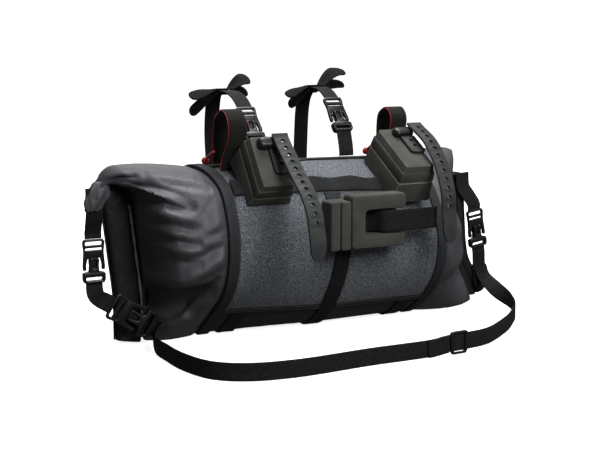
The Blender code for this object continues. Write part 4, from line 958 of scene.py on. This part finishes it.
# Grip wings. Two tongues of grippy coated cloth are sewn across the top of each bar strap and
# stand off both sides, loose until they are tucked round the handlebar.
WING_WIDE, WING_LONG, WING_THICK, WING_TIP = 0.025, 0.080, 0.002, 0.007
WING_FLAT = 0.5 * WEBBING / WING_LONG + 0.015
WING_CLIMB = 0.7
LEFT_TILT, RIGHT_TILT = 24, 34
WINGS = {
    # place on the strap, then left reach, droop, right reach, rise
    "left_upper": ("left", 0.24, 0.53, 0.34, 0.47, 0.50),
    "left_lower": ("left", 0.24, 0.54, 0.95, 0.42, 0.10),
    "right_upper": ("right", 0.27, 0.48, 0.45, 0.58, 0.78),
    "right_lower": ("right", 0.27, 0.45, 0.80, 0.55, 0.34),
}


# chlorosulphonated rubber on polyester: dull black with a fine pebble
grip = grained("rubber_coated_grip_cloth", 0.75, ("TexVoronoi", {"Scale": 650.0}),
               [(0.1, "090a08"), (0.8, "121310")], (0.25, 0.0004), Specular_IOR_Level=0.12)
SEARCH_STEP = 0.0005


def first_along(length, place, passed):
    """The first distance along a band whose middle passes a test."""
    distances = (k * SEARCH_STEP for k in range(int(length / SEARCH_STEP)))
    return next(u for u in distances if passed(place(u, 0, 0)))


for label, (strap, depth, left, droop, right, rise) in WINGS.items():
    length, place = bar_routes[strap]
    wanted = STRAP_BACK - depth * STRAP_SPAN
    crossing = first_along(length, place,
                           lambda p: p.z > BAG_TOP + STRAP_RISE / 2 and p.y <= wanted)
    seat = (STRAP_THICK + WING_THICK) / 2 + GAP
    level = -seat if label.endswith("lower") else seat
    low, high = -left * WING_LONG, right * WING_LONG

    def wing_place(u, v, h):
        """Across the strap by u, along it by v, and over it by h: outward from the loop."""
        across = (low + u) / WING_LONG
        reach = left if across < 0 else right
        t = max(0.0, (abs(across) - WING_FLAT) / (reach - WING_FLAT))
        # the tongue climbs at once and then runs level
        ramp = 1 - (1 - min(1.0, t / WING_CLIMB)) ** 1.6
        lift = -droop * t ** 1.2 if across < 0 else rise * ramp
        tilt = math.radians((LEFT_TILT if across < 0 else RIGHT_TILT) * ramp)
        height = level + lift * WING_WIDE - v * math.sin(tilt) + h * math.cos(tilt)
        run = crossing + v * math.cos(tilt) + h * math.sin(tilt)
        here, out = place(run, 0, 0), place(run, 0, -1)
        return here + Vector((low + u, 0, 0)) + (out - here) * height

    def rounded_tips(u):
        """Both tips are round, a little squarer than half a circle."""
        near = min(u, high - low - u) / WING_TIP
        return 1.0 if near >= 1 else max(0.02, 1 - (1 - near) ** 2.4) ** (1 / 2.4)

    wing = band("grip_wing_%s_cloth" % label, wing_place, high - low, WING_WIDE, WING_THICK, grip,
                step=0.0012, share=rounded_tips)
    done(wing, "webbing", "grip_wing_" + label)


# Hanger loops. A strip of hook-and-loop tape with a red woven core stands in a tall loop
# behind each foam block. A red cord with a moulded ball hangs from it, to pull it open.
# nylon hook tape: dull black bristle. Its hooks are 0.4 mm and are drawn at 1.4 mm
hooks = grained("nylon_hook_tape", 0.9, ("TexVoronoi", {"Scale": 720.0}),
                [(0.0, "2e2e2a"), (0.6, "11120f")], (0.8, 0.0010), Sheen_Weight=0.08,
                Specular_IOR_Level=0.2)
# dyed polyester braid: bright red with a soft sheen and darker plaits 1.5 mm apart
braid = grained("dyed_polyester_braid", 0.55, ("TexNoise", {"Scale": 650.0, "Detail": 1.0}),
                [(0.35, "a01622"), (0.60, "d22738")], (0.4, 0.0006), Sheen_Weight=0.3)
HANGER_WIDE, HANGER_THICK, HANGER_DEEP, HANGER_TALL = 0.023, 0.0025, 0.045, 0.068
HANGERS = {
    # x, back foot, then depth forward and height as shares
    "left": (-0.1155, -0.016, [(0.00, 0.10), (0.02, 0.28), (0.03, 0.52), (0.14, 0.82),
                               (0.60, 0.98), (0.95, 0.84), (1.00, 0.54), (0.74, 0.31),
                               (0.54, 0.13)]),
    "right": (0.1065, -0.010, [(0.02, 0.08), (0.09, 0.22), (0.11, 0.60), (0.20, 0.80),
                               (0.55, 0.91), (0.80, 0.80), (0.82, 0.60), (0.58, 0.27),
                               (0.40, 0.10)]),
}
PULL_CORD, PULL_BALL = 0.0032, 0.009
PULL_ROUTE = [(0.004, 0.020), (0.016, 0.014), (0.026, 0.008)]
for label, (x, back, shape) in HANGERS.items():
    def foot(share):
        """Where the hanger is sewn to the cloth, or over the top tape."""
        y = back - share * HANGER_DEEP
        angle = top_angle(x, y)
        over = abs(angle - GREY_END) < EDGE_SPAN / 2 + 1.5
        return tuple(on_bag(x, angle, TRIM_GAP + (TRIM_TOP if over else 0.0)))

    base = on_bag(x, top_angle(x, back), 0.0).z
    points = [foot(shape[0][0])]
    points += [(x, back - d * HANGER_DEEP, base + r * HANGER_TALL) for d, r in shape]
    points.append(foot(shape[-1][0] - 0.06))
    length, place = route(points, (1, 0, 0))
    layer = HANGER_THICK / 3
    for part, offset, wide, finish, slot in (
            ("outer", -layer, HANGER_WIDE - 0.001, hooks, "webbing"),
            ("core", 0.0, HANGER_WIDE, braid, "red_cord"),
            ("inner", layer, HANGER_WIDE - 0.001, hooks, "webbing")):
        piece = band("hanger_%s_%s" % (label, part),
                     lambda u, v, h, offset=offset: place(u, v, h + offset), length, wide,
                     layer * 0.98, finish, step=0.002)
        done(piece, slot, *(["hanger_loop_" + label] if part == "core" else []))
    side_x = x - HANGER_WIDE / 2 - GAP - PULL_CORD / 2
    cord = []
    for y_step, height in PULL_ROUTE:
        y = back - HANGER_DEEP * 0.3 + y_step
        cord.append((side_x, y, on_bag(side_x, top_angle(side_x, y), OVER_TRIM).z + height - 0.003))
    cord = smooth(cord, 6)
    way = (Vector(cord[-1]) - Vector(cord[-2])).normalized()
    ends = [(tuple(Vector(cord[-1]) + way * PULL_BALL * s), PULL_BALL / 2 * r) for s, r in (
        (0.05, 0.55), (0.18, 0.82), (0.35, 0.97), (0.5, 1.0), (0.65, 0.96), (0.82, 0.78),
        (0.94, 0.5), (1.0, 0.2))]
    frames = frames_along(cord + [p for p, _ in ends], (1, 0, 0))
    radii = [PULL_CORD / 2] * len(cord) + [r for _, r in ends]
    rings = [[c + w * r * math.cos(math.tau * k / 16) + n * r * math.sin(math.tau * k / 16)
              for k in range(16)] for (c, w, n), r in zip(frames, radii)]
    done(loft("red_pull_%s_cord" % label, rings, braid, 70), "red_cord", "red_pull_" + label)


# Foam spacer blocks. Each is cut from two layers of closed-cell EVA, the front one with a
# raised pad round its face, and holds the cables and the handlebar clear of the bag.
def eva_foam():
    """Closed-cell EVA sheet: matt warm charcoal with a fine skin of 0.3 mm cells, drawn at
    1.2 mm, and a painted highlight, in patches, along its edges and corners."""
    made, tree, shader, where = new_finish("closed_cell_foam", 0.86, Specular_IOR_Level=0.25)
    cell = add(tree, "TexNoise", Vector=where, Scale=850.0, Detail=2.0)
    broad = add(tree, "TexNoise", Vector=where, Scale=45.0, Detail=3.0)
    both = add(tree, "Math", {"operation": "MULTIPLY_ADD"}, i0=cell.outputs["Fac"], i1=0.4,
               i2=broad.outputs["Fac"])
    shade = add(tree, "ValToRGB", Fac=both.outputs[0],
                stops=[(0.45, "41423e"), (0.95, "50514b")])
    # the pale patches along the marked edges and corners are a painted highlight
    edge = add(tree, "Attribute", {"attribute_name": "painted_edge_highlight"})
    amount = add(tree, "Math", {"operation": "MULTIPLY"}, i0=edge.outputs["Fac"],
                 i1=broad.outputs["Fac"])
    pale = add(tree, "MixRGB", Fac=amount.outputs[0], Color1=shade.outputs["Color"],
               Color2=colour("b0b0a6"))
    tree.links.new(pale.outputs["Color"], shader.inputs["Base Color"])
    relief = add(tree, "Bump", Strength=0.25, Distance=0.0005, Height=cell.outputs["Fac"])
    tree.links.new(relief.outputs["Normal"], shader.inputs["Normal"])
    return made


foam = eva_foam()
BLOCK_WIDE, BLOCK_DEEP, BLOCK_SEAM, BLOCK_TAPER = 0.042, 0.047, 0.022, 0.006
FACE = RADIUS + BLOCK_DEEP
REAR = RADIUS - 0.002
# a block's foot is drawn out in small steps until each of its points clears the cloth
FOOT_STEP, FOOT_TRIES = 0.0006, 60
BLOCKS = {
    # tilt in degrees, centre x, and the face from and to up the tilted plane
    "left": (35.0, -0.091, 0.002, 0.069),
    "right": (59.0, 0.093, -0.052, 0.027),
}


def tilted(degrees):
    """A block's own plane: across, out from the bag's axis, and up its face."""
    turn = math.radians(degrees)
    out = Vector((0, -math.cos(turn), math.sin(turn)))
    up = Vector((0, math.sin(turn), math.cos(turn)))
    return lambda x, o, u: Vector((x, 0, RADIUS)) + out * o + up * u


CORNER_STEPS = 5


def mark_painted_edge_highlight(piece, count, rows):
    """Marks where the foam's edges get a painted highlight: whole rings, and the corners."""
    painted_edge_highlight = piece.data.attributes.new("painted_edge_highlight", "FLOAT", "POINT")
    for i, value in enumerate(painted_edge_highlight.data):
        row, k = divmod(i, count)
        corner = k % (CORNER_STEPS + 1) == CORNER_STEPS // 2
        value.value = 0.8 if row in rows else 0.4 if corner else 0.0


def round_rectangle(half_x, low, high, radius, steps=CORNER_STEPS):
    """Points round a rectangle with round corners."""
    points = []
    centre_x = half_x - radius
    for k, (cx, cy) in enumerate(((centre_x, high - radius), (-centre_x, high - radius),
                                  (-centre_x, low + radius), (centre_x, low + radius))):
        points += [(cx + radius * math.cos(math.pi / 2 * (k + s / steps)),
                    cy + radius * math.sin(math.pi / 2 * (k + s / steps)))
                   for s in range(steps + 1)]
    return points


for label, (tilt, x, low, high) in BLOCKS.items():
    plane = tilted(tilt)

    def block_ring(out, inset, radius):
        """A ring of the block at a distance from the axis, drawn in by inset."""
        grow = BLOCK_TAPER * (FACE - out) / BLOCK_DEEP
        half = BLOCK_WIDE / 2 + grow - inset
        return [plane(x + a, out, b) for a, b in round_rectangle(
            half, low - grow / 2 + inset, high - grow / 2 - inset, radius)]

    seam = FACE - BLOCK_SEAM
    front = [(seam, 0.0012, 0.003), (seam + 0.0005, 0.0003, 0.002), (seam + 0.0015, 0.0, 0.002),
             (FACE - 0.0110, 0.0, 0.002), (FACE - 0.0100, 0.0003, 0.002),
             (FACE - 0.0095, 0.0010, 0.002), (FACE - 0.0018, 0.0022, 0.002),
             (FACE - 0.0008, 0.0025, 0.002), (FACE - 0.0002, 0.0031, 0.002),
             (FACE, 0.0042, 0.002)]
    piece = loft("foam_block_%s_front" % label, [block_ring(*row) for row in front], foam, 35)
    mark_painted_edge_highlight(piece, 4 * (CORNER_STEPS + 1), (1, 7))
    done(piece, "foam", "block_front_" + label)
    top = seam - GAP
    rings = [block_ring(top, 0.0012, 0.003), block_ring(top - 0.0008, 0.0003, 0.003),
             block_ring(top - 0.002, 0.0, 0.003), block_ring(REAR + 0.012, 0.0, 0.003)]
    foot_ring = []
    for point in block_ring(REAR, 0.0, 0.003):
        height = point
        for k in range(FOOT_TRIES):
            height = point + (plane(0, 1, 0) - plane(0, 0, 0)) * FOOT_STEP * k
            angle = math.degrees(math.atan2(height.z - RADIUS, -height.y))
            cloth = on_bag(height.x, angle, OVER_TRIM)
            if math.hypot(height.y, height.z - RADIUS) >= math.hypot(cloth.y, cloth.z - RADIUS):
                break
        foot_ring.append(height)
    rings[-1] = [foot.lerp(upper, 0.35) for foot, upper in zip(foot_ring, rings[-2])]
    rings.append(foot_ring)
    piece = loft("foam_block_%s_rear" % label, rings, foam, 35)
    mark_painted_edge_highlight(piece, len(rings[0]), (1,))
    done(piece, "foam", "block_rear_" + label)


# Rubber straps. Moulded rubber with a row of round holes, each with a raised rim. A short one
# lies on each block under a plastic keeper, and the long tail hangs free from the keeper.
# compression-moulded rubber: grey black and dull, with a dusty bloom and paler high spots
rubber = grained("moulded_rubber", 0.60, ("TexNoise", {"Scale": 120.0, "Detail": 4.0}),
                 [(0.3, "292b2b"), (0.7, "363838")], (0.12, 0.0006), Specular_IOR_Level=0.30)
RUBBER_WIDE, RUBBER_THICK, HOLE_PITCH, HOLE = 0.020, 0.003, 0.0105, 0.0046
HOLE_SIDES, RUBBER_ROUND = 16, 0.0008
KEEPER_LONG, KEEPER_TALL, TAIL_HOLES = 0.014, 0.009, 12
TAILS = {
    # keeper x, short strap x, tail x, keeper's place up the face, tail reach and drop, route
    "left": (-0.092, -0.083, -0.079, 0.056, 0.087, 0.124,
             [(0.00, 0.00), (0.19, 0.12), (0.51, 0.315), (0.73, 0.435), (0.90, 0.59),
              (0.955, 0.71), (1.00, 0.85), (1.00, 1.00)]),
    "right": (0.100, 0.103, 0.117, 0.012, 0.076, 0.130,
              [(0.00, 0.00), (0.37, 0.11), (0.63, 0.255), (0.79, 0.39), (0.91, 0.555),
               (0.94, 0.715), (0.98, 0.86), (1.00, 1.00)]),
}


def perforated(name, place, total, holes, first, tip=0.020):
    """A rubber strap with a row of holes and a round tip that starts so far from its end."""
    half, rim = RUBBER_WIDE / 2, RUBBER_THICK / 2
    points, faces, index = [], [], {}

    def corner(s, w, h):
        """The number of a point, the same wherever faces share it."""
        key = (round(s, 6), round(w, 6), round(h, 6))
        if key not in index:
            index[key] = len(points)
            points.append(place(s, w, h))
        return index[key]

    def quad(*corners):
        """A face, less the corners that fall together."""
        ring = []
        for point in (corner(*c) for c in corners):
            if point not in ring:
                ring.append(point)
        if len(ring) > 2:
            faces.append(tuple(ring))

    def width_at(s):
        """Half the strap's width, narrower round its tip."""
        near = (total - s) / tip
        return half if near >= 1 else half * math.sqrt(max(0.03, 1 - (1 - max(0.0, near)) ** 2.6))

    def edges(s0, s1):
        """The two rounded long edges between two rows."""
        for side in (-1, 1):
            arc = [(-RUBBER_ROUND, 1.0), (-0.0002, 0.55), (0.0, 0.0), (-0.0002, -0.55),
                   (-RUBBER_ROUND, -1.0)]
            for (d0, h0), (d1, h1) in zip(arc, arc[1:]):
                quad((s0, side * (width_at(s0) + d0), h0 * rim),
                     (s0, side * (width_at(s0) + d1), h1 * rim),
                     (s1, side * (width_at(s1) + d1), h1 * rim),
                     (s1, side * (width_at(s1) + d0), h0 * rim))

    def plain(s0, s1):
        """A stretch of the strap without a hole."""
        for h in (rim, -rim):
            for k in range(4):
                w0, w1 = k / 2 - 1, (k + 1) / 2 - 1
                a, b = width_at(s0) - RUBBER_ROUND, width_at(s1) - RUBBER_ROUND
                quad((s0, w0 * a, h), (s0, w1 * a, h), (s1, w1 * b, h), (s1, w0 * b, h))
        edges(s0, s1)

    begin = first - HOLE_PITCH / 2
    count = max(1, round(begin / (HOLE_PITCH / 4)))
    for k in range(count):
        plain(begin * k / count, begin * (k + 1) / count)
    flat = half - RUBBER_ROUND
    for k in range(holes):
        s0 = begin + k * HOLE_PITCH
        middle = s0 + HOLE_PITCH / 2
        around = []
        for a in range(HOLE_SIDES):
            turn = math.tau * a / HOLE_SIDES
            c, s = math.cos(turn), math.sin(turn)
            big = max(abs(c), abs(s))
            around.append((c, s, round(c / big * 2) / 2 if abs(s) == big else math.copysign(1, c),
                           round(s / big * 2) / 2 if abs(c) == big else math.copysign(1, s)))
        for side in (1, -1):
            profile = [(HOLE / 2, 0.0), (HOLE / 2, 0.85), (HOLE / 2 + 0.0003, 1.18),
                       (HOLE / 2 + 0.0009, 1.18), (HOLE / 2 + 0.0013, 1.0)]
            for a in range(HOLE_SIDES):
                c0, s0_, gx0, gy0 = around[a]
                c1, s1_, gx1, gy1 = around[(a + 1) % HOLE_SIDES]
                for (r0, h0), (r1, h1) in zip(profile, profile[1:]):
                    quad((middle + c0 * r0, s0_ * r0, side * h0 * rim),
                         (middle + c1 * r0, s1_ * r0, side * h0 * rim),
                         (middle + c1 * r1, s1_ * r1, side * h1 * rim),
                         (middle + c0 * r1, s0_ * r1, side * h1 * rim))
                r, h = profile[-1]
                quad((middle + c0 * r, s0_ * r, side * h * rim),
                     (middle + c1 * r, s1_ * r, side * h * rim),
                     (middle + gx1 * HOLE_PITCH / 2, gy1 * flat, side * rim),
                     (middle + gx0 * HOLE_PITCH / 2, gy0 * flat, side * rim))
        for q in range(4):
            edges(s0 + HOLE_PITCH * q / 4, s0 + HOLE_PITCH * (q + 1) / 4)
    start = begin + holes * HOLE_PITCH
    count = max(4, round((total - start) / 0.0012))
    for k in range(count):
        plain(start + (total - start) * k / count, start + (total - start) * (k + 1) / count)
    for s in (0.0, total):
        w = width_at(s)
        for side in (-1, 1):
            quad((s, side * (w - RUBBER_ROUND), rim), (s, side * (w - 0.0002), rim * 0.55),
                 (s, side * w, 0.0), (s, side * (w - 0.0002), -rim * 0.55),
                 (s, side * (w - RUBBER_ROUND), -rim))
        for k in range(4):
            w0, w1 = (k / 2 - 1) * (w - RUBBER_ROUND), ((k + 1) / 2 - 1) * (w - RUBBER_ROUND)
            quad((s, w0, rim), (s, w1, rim), (s, w1, -rim), (s, w0, -rim))
    return mesh_piece(name, points, faces, rubber, sharp=45)


for label, (keeper_x, base_x, tail_x, up, reach, drop, shape) in TAILS.items():
    plane = tilted(BLOCKS[label][0])
    rings = []
    for o, inset, radius in ((FACE + GAP, 0.0006, 0.004), (FACE + 0.0015, 0.0, 0.005),
                             (FACE + KEEPER_TALL * 0.55, 0.0, 0.005),
                             (FACE + KEEPER_TALL * 0.82, 0.0010, 0.005),
                             (FACE + KEEPER_TALL * 0.96, 0.0026, 0.004),
                             (FACE + KEEPER_TALL, 0.0042, 0.0025)):
        rings.append([plane(keeper_x + a, o, b) for a, b in round_rectangle(
            RUBBER_WIDE / 2 + 0.003 - inset, up - KEEPER_LONG / 2 + inset,
            up + KEEPER_LONG / 2 - inset, radius)])
    done(loft("strap_keeper_" + label, rings, acetal, 35), "buckle_plastic", "keeper_" + label)
    base_out = FACE + GAP + RUBBER_THICK / 2
    top = up - KEEPER_LONG / 2 - GAP
    total = 3 * HOLE_PITCH
    length, place = route([tuple(plane(base_x, base_out, top - total * k / 3)) for k in range(4)],
                          (1, 0, 0))
    done(perforated("rubber_base_%s_strap" % label, place, length, 2, HOLE_PITCH * 0.8, 0.004),
         "rubber", "rubber_base_" + label)
    tail_out = FACE + KEEPER_TALL + GAP + RUBBER_THICK / 2
    start = plane(tail_x, tail_out, up)
    points = [tuple(plane(tail_x, tail_out, up + KEEPER_LONG / 2))]
    points += [(tail_x, start.y - a * reach, start.z - d * drop) for a, d in shape]
    length, place = route(points, (1, 0, 0))
    done(perforated("rubber_tail_%s_strap" % label, place, length, TAIL_HOLES, HOLE_PITCH),
         "rubber", "rubber_tail_" + label)


# Head tube pad. A pressed foam pad that keeps the bag off the bicycle's head tube: a backing
# with two upright ribs and two arms, and a slot between the arms for its webbing.
PAD_LEFT, PAD_RIGHT, PAD_BOTTOM, PAD_TOP, PAD_DEEP = -0.032, 0.067, 0.110, 0.172, 0.027
SLOT_TALL, SLOT_LEFT, SLOT_DEEP = 0.028, 0.013, 0.020
pad_back = min(on_bag(0.0, a, OVER_TRIM).y for a in range(-20, 70)) - GAP
pad_front = pad_back - PAD_DEEP
slot_mid = (PAD_BOTTOM + PAD_TOP) / 2 - 0.001
shoulder = PAD_TOP - 0.006


def pad_part(name, corners, front, back, radius, edge):
    """One pressed part of the pad, from its outline in x and height."""
    middle = (front + back) / 2
    return plate(name, [rounded(corners, radius)], back - front, edge, foam,
                 lambda a, b, h: Vector((a, middle + h, b)))


pad_parts = [
    ("backing", [(PAD_LEFT + 0.001, PAD_BOTTOM), (PAD_RIGHT - 0.001, PAD_BOTTOM),
                 (PAD_RIGHT - 0.001, PAD_TOP - 0.001), (-0.001, PAD_TOP - 0.001),
                 (-0.006, shoulder), (PAD_LEFT + 0.001, shoulder)],
     pad_front + SLOT_DEEP, pad_back, 0.004, 0.0015),
    ("left_rib", [(PAD_LEFT, PAD_BOTTOM), (PAD_LEFT + 0.0125, PAD_BOTTOM),
                  (PAD_LEFT + 0.0125, shoulder), (PAD_LEFT, shoulder)],
     pad_front + 0.001, pad_front + SLOT_DEEP + 0.002, 0.003, 0.002),
    ("second_rib", [(PAD_LEFT + 0.0131, PAD_BOTTOM), (-0.0060, PAD_BOTTOM),
                    (-0.0060, shoulder), (PAD_LEFT + 0.0131, shoulder)],
     pad_front + 0.0005, pad_front + SLOT_DEEP + 0.002, 0.003, 0.002),
    ("arms", [(-0.0055, PAD_BOTTOM), (PAD_RIGHT, PAD_BOTTOM), (PAD_RIGHT, slot_mid - SLOT_TALL / 2),
              (SLOT_LEFT, slot_mid - SLOT_TALL / 2), (SLOT_LEFT, slot_mid + SLOT_TALL / 2),
              (PAD_RIGHT, slot_mid + SLOT_TALL / 2), (PAD_RIGHT, PAD_TOP), (-0.0040, PAD_TOP),
              (-0.0055, PAD_TOP - 0.004)],
     pad_front, pad_front + SLOT_DEEP + 0.002, 0.006, 0.0030),
]
for part, *facts in pad_parts:
    piece = pad_part("head_tube_pad_" + part, *facts)
    done(piece, "foam", *(["head_tube_pad"] if part == "backing" else []))
slot_floor = pad_front + SLOT_DEEP
start = SLOT_LEFT + 0.006
PAD_STRAP_END = 0.109
pad_route = [(start, slot_floor - TRIM_GAP - WEB_THICK / 2),
             (start + 0.006, slot_floor - TRIM_GAP - WEB_THICK / 2),
             (start + 0.013, slot_floor - SLOT_DEEP * 0.45),
             (start + 0.020, slot_floor - SLOT_DEEP * 0.90), (PAD_RIGHT - 0.010, pad_front - 0.001),
             ((PAD_RIGHT + PAD_STRAP_END) / 2, pad_front), (PAD_STRAP_END, pad_front + 0.001)]
length, place = route([(x, y, slot_mid) for x, y in pad_route], (0, 0, 1))
done(band("pad_webbing", place, length, 0.025, WEB_THICK, webbing), "webbing", "pad_strap")


# End straps. Webbing is sewn to the top of each roll, runs down through a buckle and joins the
# bag's foot, so that it holds the roll closed.
LEAD = 0.008


def from_end(centre, axis, length, lead):
    """Three points of a strap in line with a buckle, from the buckle's end outward."""
    way = Vector(axis).normalized()
    end = Vector(centre) + way * (length / 2 + GAP)
    return [tuple(end + way * lead * s) for s in (0, 0.5, 1)]


strap_depth = GAP + WEB_THICK / 2
left_front = -(ROLL_THICK / 2 + strap_depth)
right_front = ROLL_FOLD - (ROLL_WIDE / 2 + strap_depth)
left_buckle = Vector((left_horn[0] - 0.006, 0.0, RADIUS * 0.99))
right_buckle = Vector((right_horn[0] + 0.022, right_front - SMALL_BUCKLE[2] / 2 - GAP, RADIUS))
left_down, right_down = Vector((0, 0, -1)), Vector((0.15, 0, -0.99)).normalized()
buckle("end_buckle_left", left_buckle, left_down, (1, 0, 0), *SMALL_BUCKLE)
buckle("end_buckle_right", right_buckle, right_down, (1, 0, 0), *SMALL_BUCKLE)
large_axis, large_up = Vector((0.843, -0.05, -0.537)).normalized(), (0.54, 0, 0.84)
LARGE_BUCKLE = (0.054, 0.032, 0.010)
large_y = left_front - strap_depth - GAP - LARGE_BUCKLE[2] / 2
large_buckle = Vector((left_foot[0] - 0.003, large_y - 0.004, 0.0365))
buckle("shoulder_buckle", large_buckle, large_axis, large_up, *LARGE_BUCKLE)
sewn_x = left_horn[0] - 0.007
SHORT_LEAD, BEND_STEPS = 0.003, 10


def bent_between(first, leave, out_way, arrive, in_way, last, turn_from, turn_to):
    """A strap from one buckle to another: straight out, through one even bend, straight in."""
    handle = (arrive - leave).length / 2
    points, across = [tuple(first)], [turn_from]
    for k in range(BEND_STEPS + 1):
        t = k / BEND_STEPS
        hull = [leave, leave + out_way * handle, arrive + in_way * handle, arrive]
        while len(hull) > 1:
            hull = [a.lerp(b, t) for a, b in zip(hull, hull[1:])]
        points.append(tuple(hull[0]))
        across.append(tuple(Vector(turn_from).lerp(Vector(turn_to), t)))
    return points + [tuple(last)], across + [turn_to]


leave_first, _, leave = map(Vector, from_end(left_buckle, left_down, SMALL_BUCKLE[0], SHORT_LEAD))
arrive_last, _, arrive = map(Vector, from_end(large_buckle, -large_axis, LARGE_BUCKLE[0],
                                              SHORT_LEAD))
right_leads = from_end(right_buckle, -right_down, SMALL_BUCKLE[0], LEAD)[::-1]
sewn_edge = Vector((right_horn[0] + 0.003, right_front, right_horn[2] - 0.016))
END_STRAPS = {
    "end_strap_left": ([(sewn_x, left_front, left_horn[2] + 0.006),
                        (sewn_x, left_front, left_horn[2] - 0.020)]
                       + from_end(left_buckle, -left_down, SMALL_BUCKLE[0], LEAD)[::-1], (1, 0, 0)),
    "end_strap_right": ([(right_horn[0] + 0.001, right_front, right_horn[2] + 0.002),
                         tuple(sewn_edge), tuple(sewn_edge.lerp(Vector(right_leads[0]), 0.5))]
                        + right_leads, (1, 0, 0)),
    "roll_tab_left": ([(left_foot[0] + 0.004, left_front, 0.022),
                       (left_foot[0] - 0.004, left_front, 0.032),
                       (left_foot[0] - 0.012, left_front, 0.040)], (0.6, 0, 0.8)),
    "end_strap_left_lower": bent_between(leave_first, leave, left_down, arrive, -large_axis,
                                         arrive_last, (1, 0, 0), large_up),
    "end_strap_right_lower": (from_end(right_buckle, right_down, SMALL_BUCKLE[0], LEAD)
                              + [(right_buckle.x + 0.009, right_front - 0.001, 0.045),
                                 (right_buckle.x + 0.013, right_front - 0.001, 0.024)], (1, 0, 0)),
}
for name, (points, across) in END_STRAPS.items():
    length, place = route(points, across, 2 if len(points) > BEND_STEPS else 8)
    done(band(name + "_webbing", place, length, WEBBING, WEB_THICK, webbing, step=0.002), "webbing",
         name)


# Shoulder strap. One long webbing, twisted upright where it leaves the right roll, lies on its
# edge on the floor in front of the bag and ends at the large buckle. A moulded adjuster and
# its sewn end are on it.
SHOULDER_WIDE, SHOULDER_THICK, SHOULDER_REACH, GLIDE_BAR = 0.020, 0.0018, 0.218, 0.003
EDGE_UP = SHOULDER_WIDE / 2 + 0.0004
SHOULDER_ROUTE = [
    # x and y as shares of the reach, height over its rest height
    (1.225, -0.180, 0.010), (1.210, -0.340, 0.002), (1.115, -0.505, 0.000),
    (0.985, -0.645, 0.000), (0.850, -0.765, 0.000), (0.625, -0.915, 0.000),
    (0.430, -0.997, GLIDE_BAR), (0.300, -1.007, GLIDE_BAR), (0.180, -1.000, 0.000),
    (-0.150, -0.995, 0.000), (-0.470, -1.010, 0.000), (-0.650, -0.998, 0.000),
    (-0.770, -0.970, 0.000), (-0.880, -0.910, 0.000), (-0.955, -0.815, 0.000),
    (-1.000, -0.640, 0.000), (-1.008, -0.460, 0.000), (-1.004, -0.290, 0.001),
]
tab_front = right_front - SHOULDER_THICK - GAP
control = [(right_buckle.x + 0.009, tab_front - 0.0015, 0.048),
           (right_buckle.x + 0.013, tab_front - 0.0045, 0.035)]
across = [(1, 0, 0.1), (1, 0, 0.2), (0.6, 0, 0.8)] + [(0, 0, 1)] * (len(SHOULDER_ROUTE) - 1)
control += [(x * SHOULDER_REACH, y * SHOULDER_REACH, EDGE_UP + up) for x, y, up in SHOULDER_ROUTE]
control += from_end(large_buckle, large_axis, LARGE_BUCKLE[0], LEAD)[::-1]
across += [large_up] * 3
shoulder_length, shoulder_place = route(control, across)
done(band("carrying_strap", shoulder_place, shoulder_length, SHOULDER_WIDE, SHOULDER_THICK, webbing,
          step=0.0025), "webbing", "shoulder_strap")
glide_x, sewn_from, sewn_to = (s * SHOULDER_REACH for s in (0.365, 0.18, 0.30))


def strap_distance(x):
    """How far along the carrying strap its front run passes x."""
    return first_along(shoulder_length, shoulder_place,
                       lambda p: p.y < -SHOULDER_REACH / 2 and p.x <= x)


glide_at = strap_distance(glide_x)
GLIDE_WIDE = 0.023
front_way = 1 if shoulder_place(glide_at, 0, 1).y < shoulder_place(glide_at, 0, 0).y else -1
glide_half = SHOULDER_WIDE / 2 + GLIDE_BAR
glide_rim = rounded(mirrored([(GLIDE_WIDE / 2, -glide_half), (GLIDE_WIDE / 2, glide_half)]), 0.004)
opening_half = SHOULDER_WIDE / 2 + GAP
opening = rounded(mirrored([(0.0075, -opening_half), (0.0075, opening_half)]), 0.001)
done(plate("strap_adjuster_moulding", [glide_rim, opening], 0.0036, 0.0009, acetal,
           lambda a, b, h: shoulder_place(glide_at + a, b, h + front_way * 0.0013)),
     "buckle_plastic", "strap_adjuster")
start = strap_distance(sewn_to)
done(band("folded_strap_end",
          lambda u, v, h: shoulder_place(start + u, v, h + front_way * (SHOULDER_THICK + GAP)),
          strap_distance(sewn_from) - start, SHOULDER_WIDE, SHOULDER_THICK, webbing), "webbing",
     "strap_sewn_end")
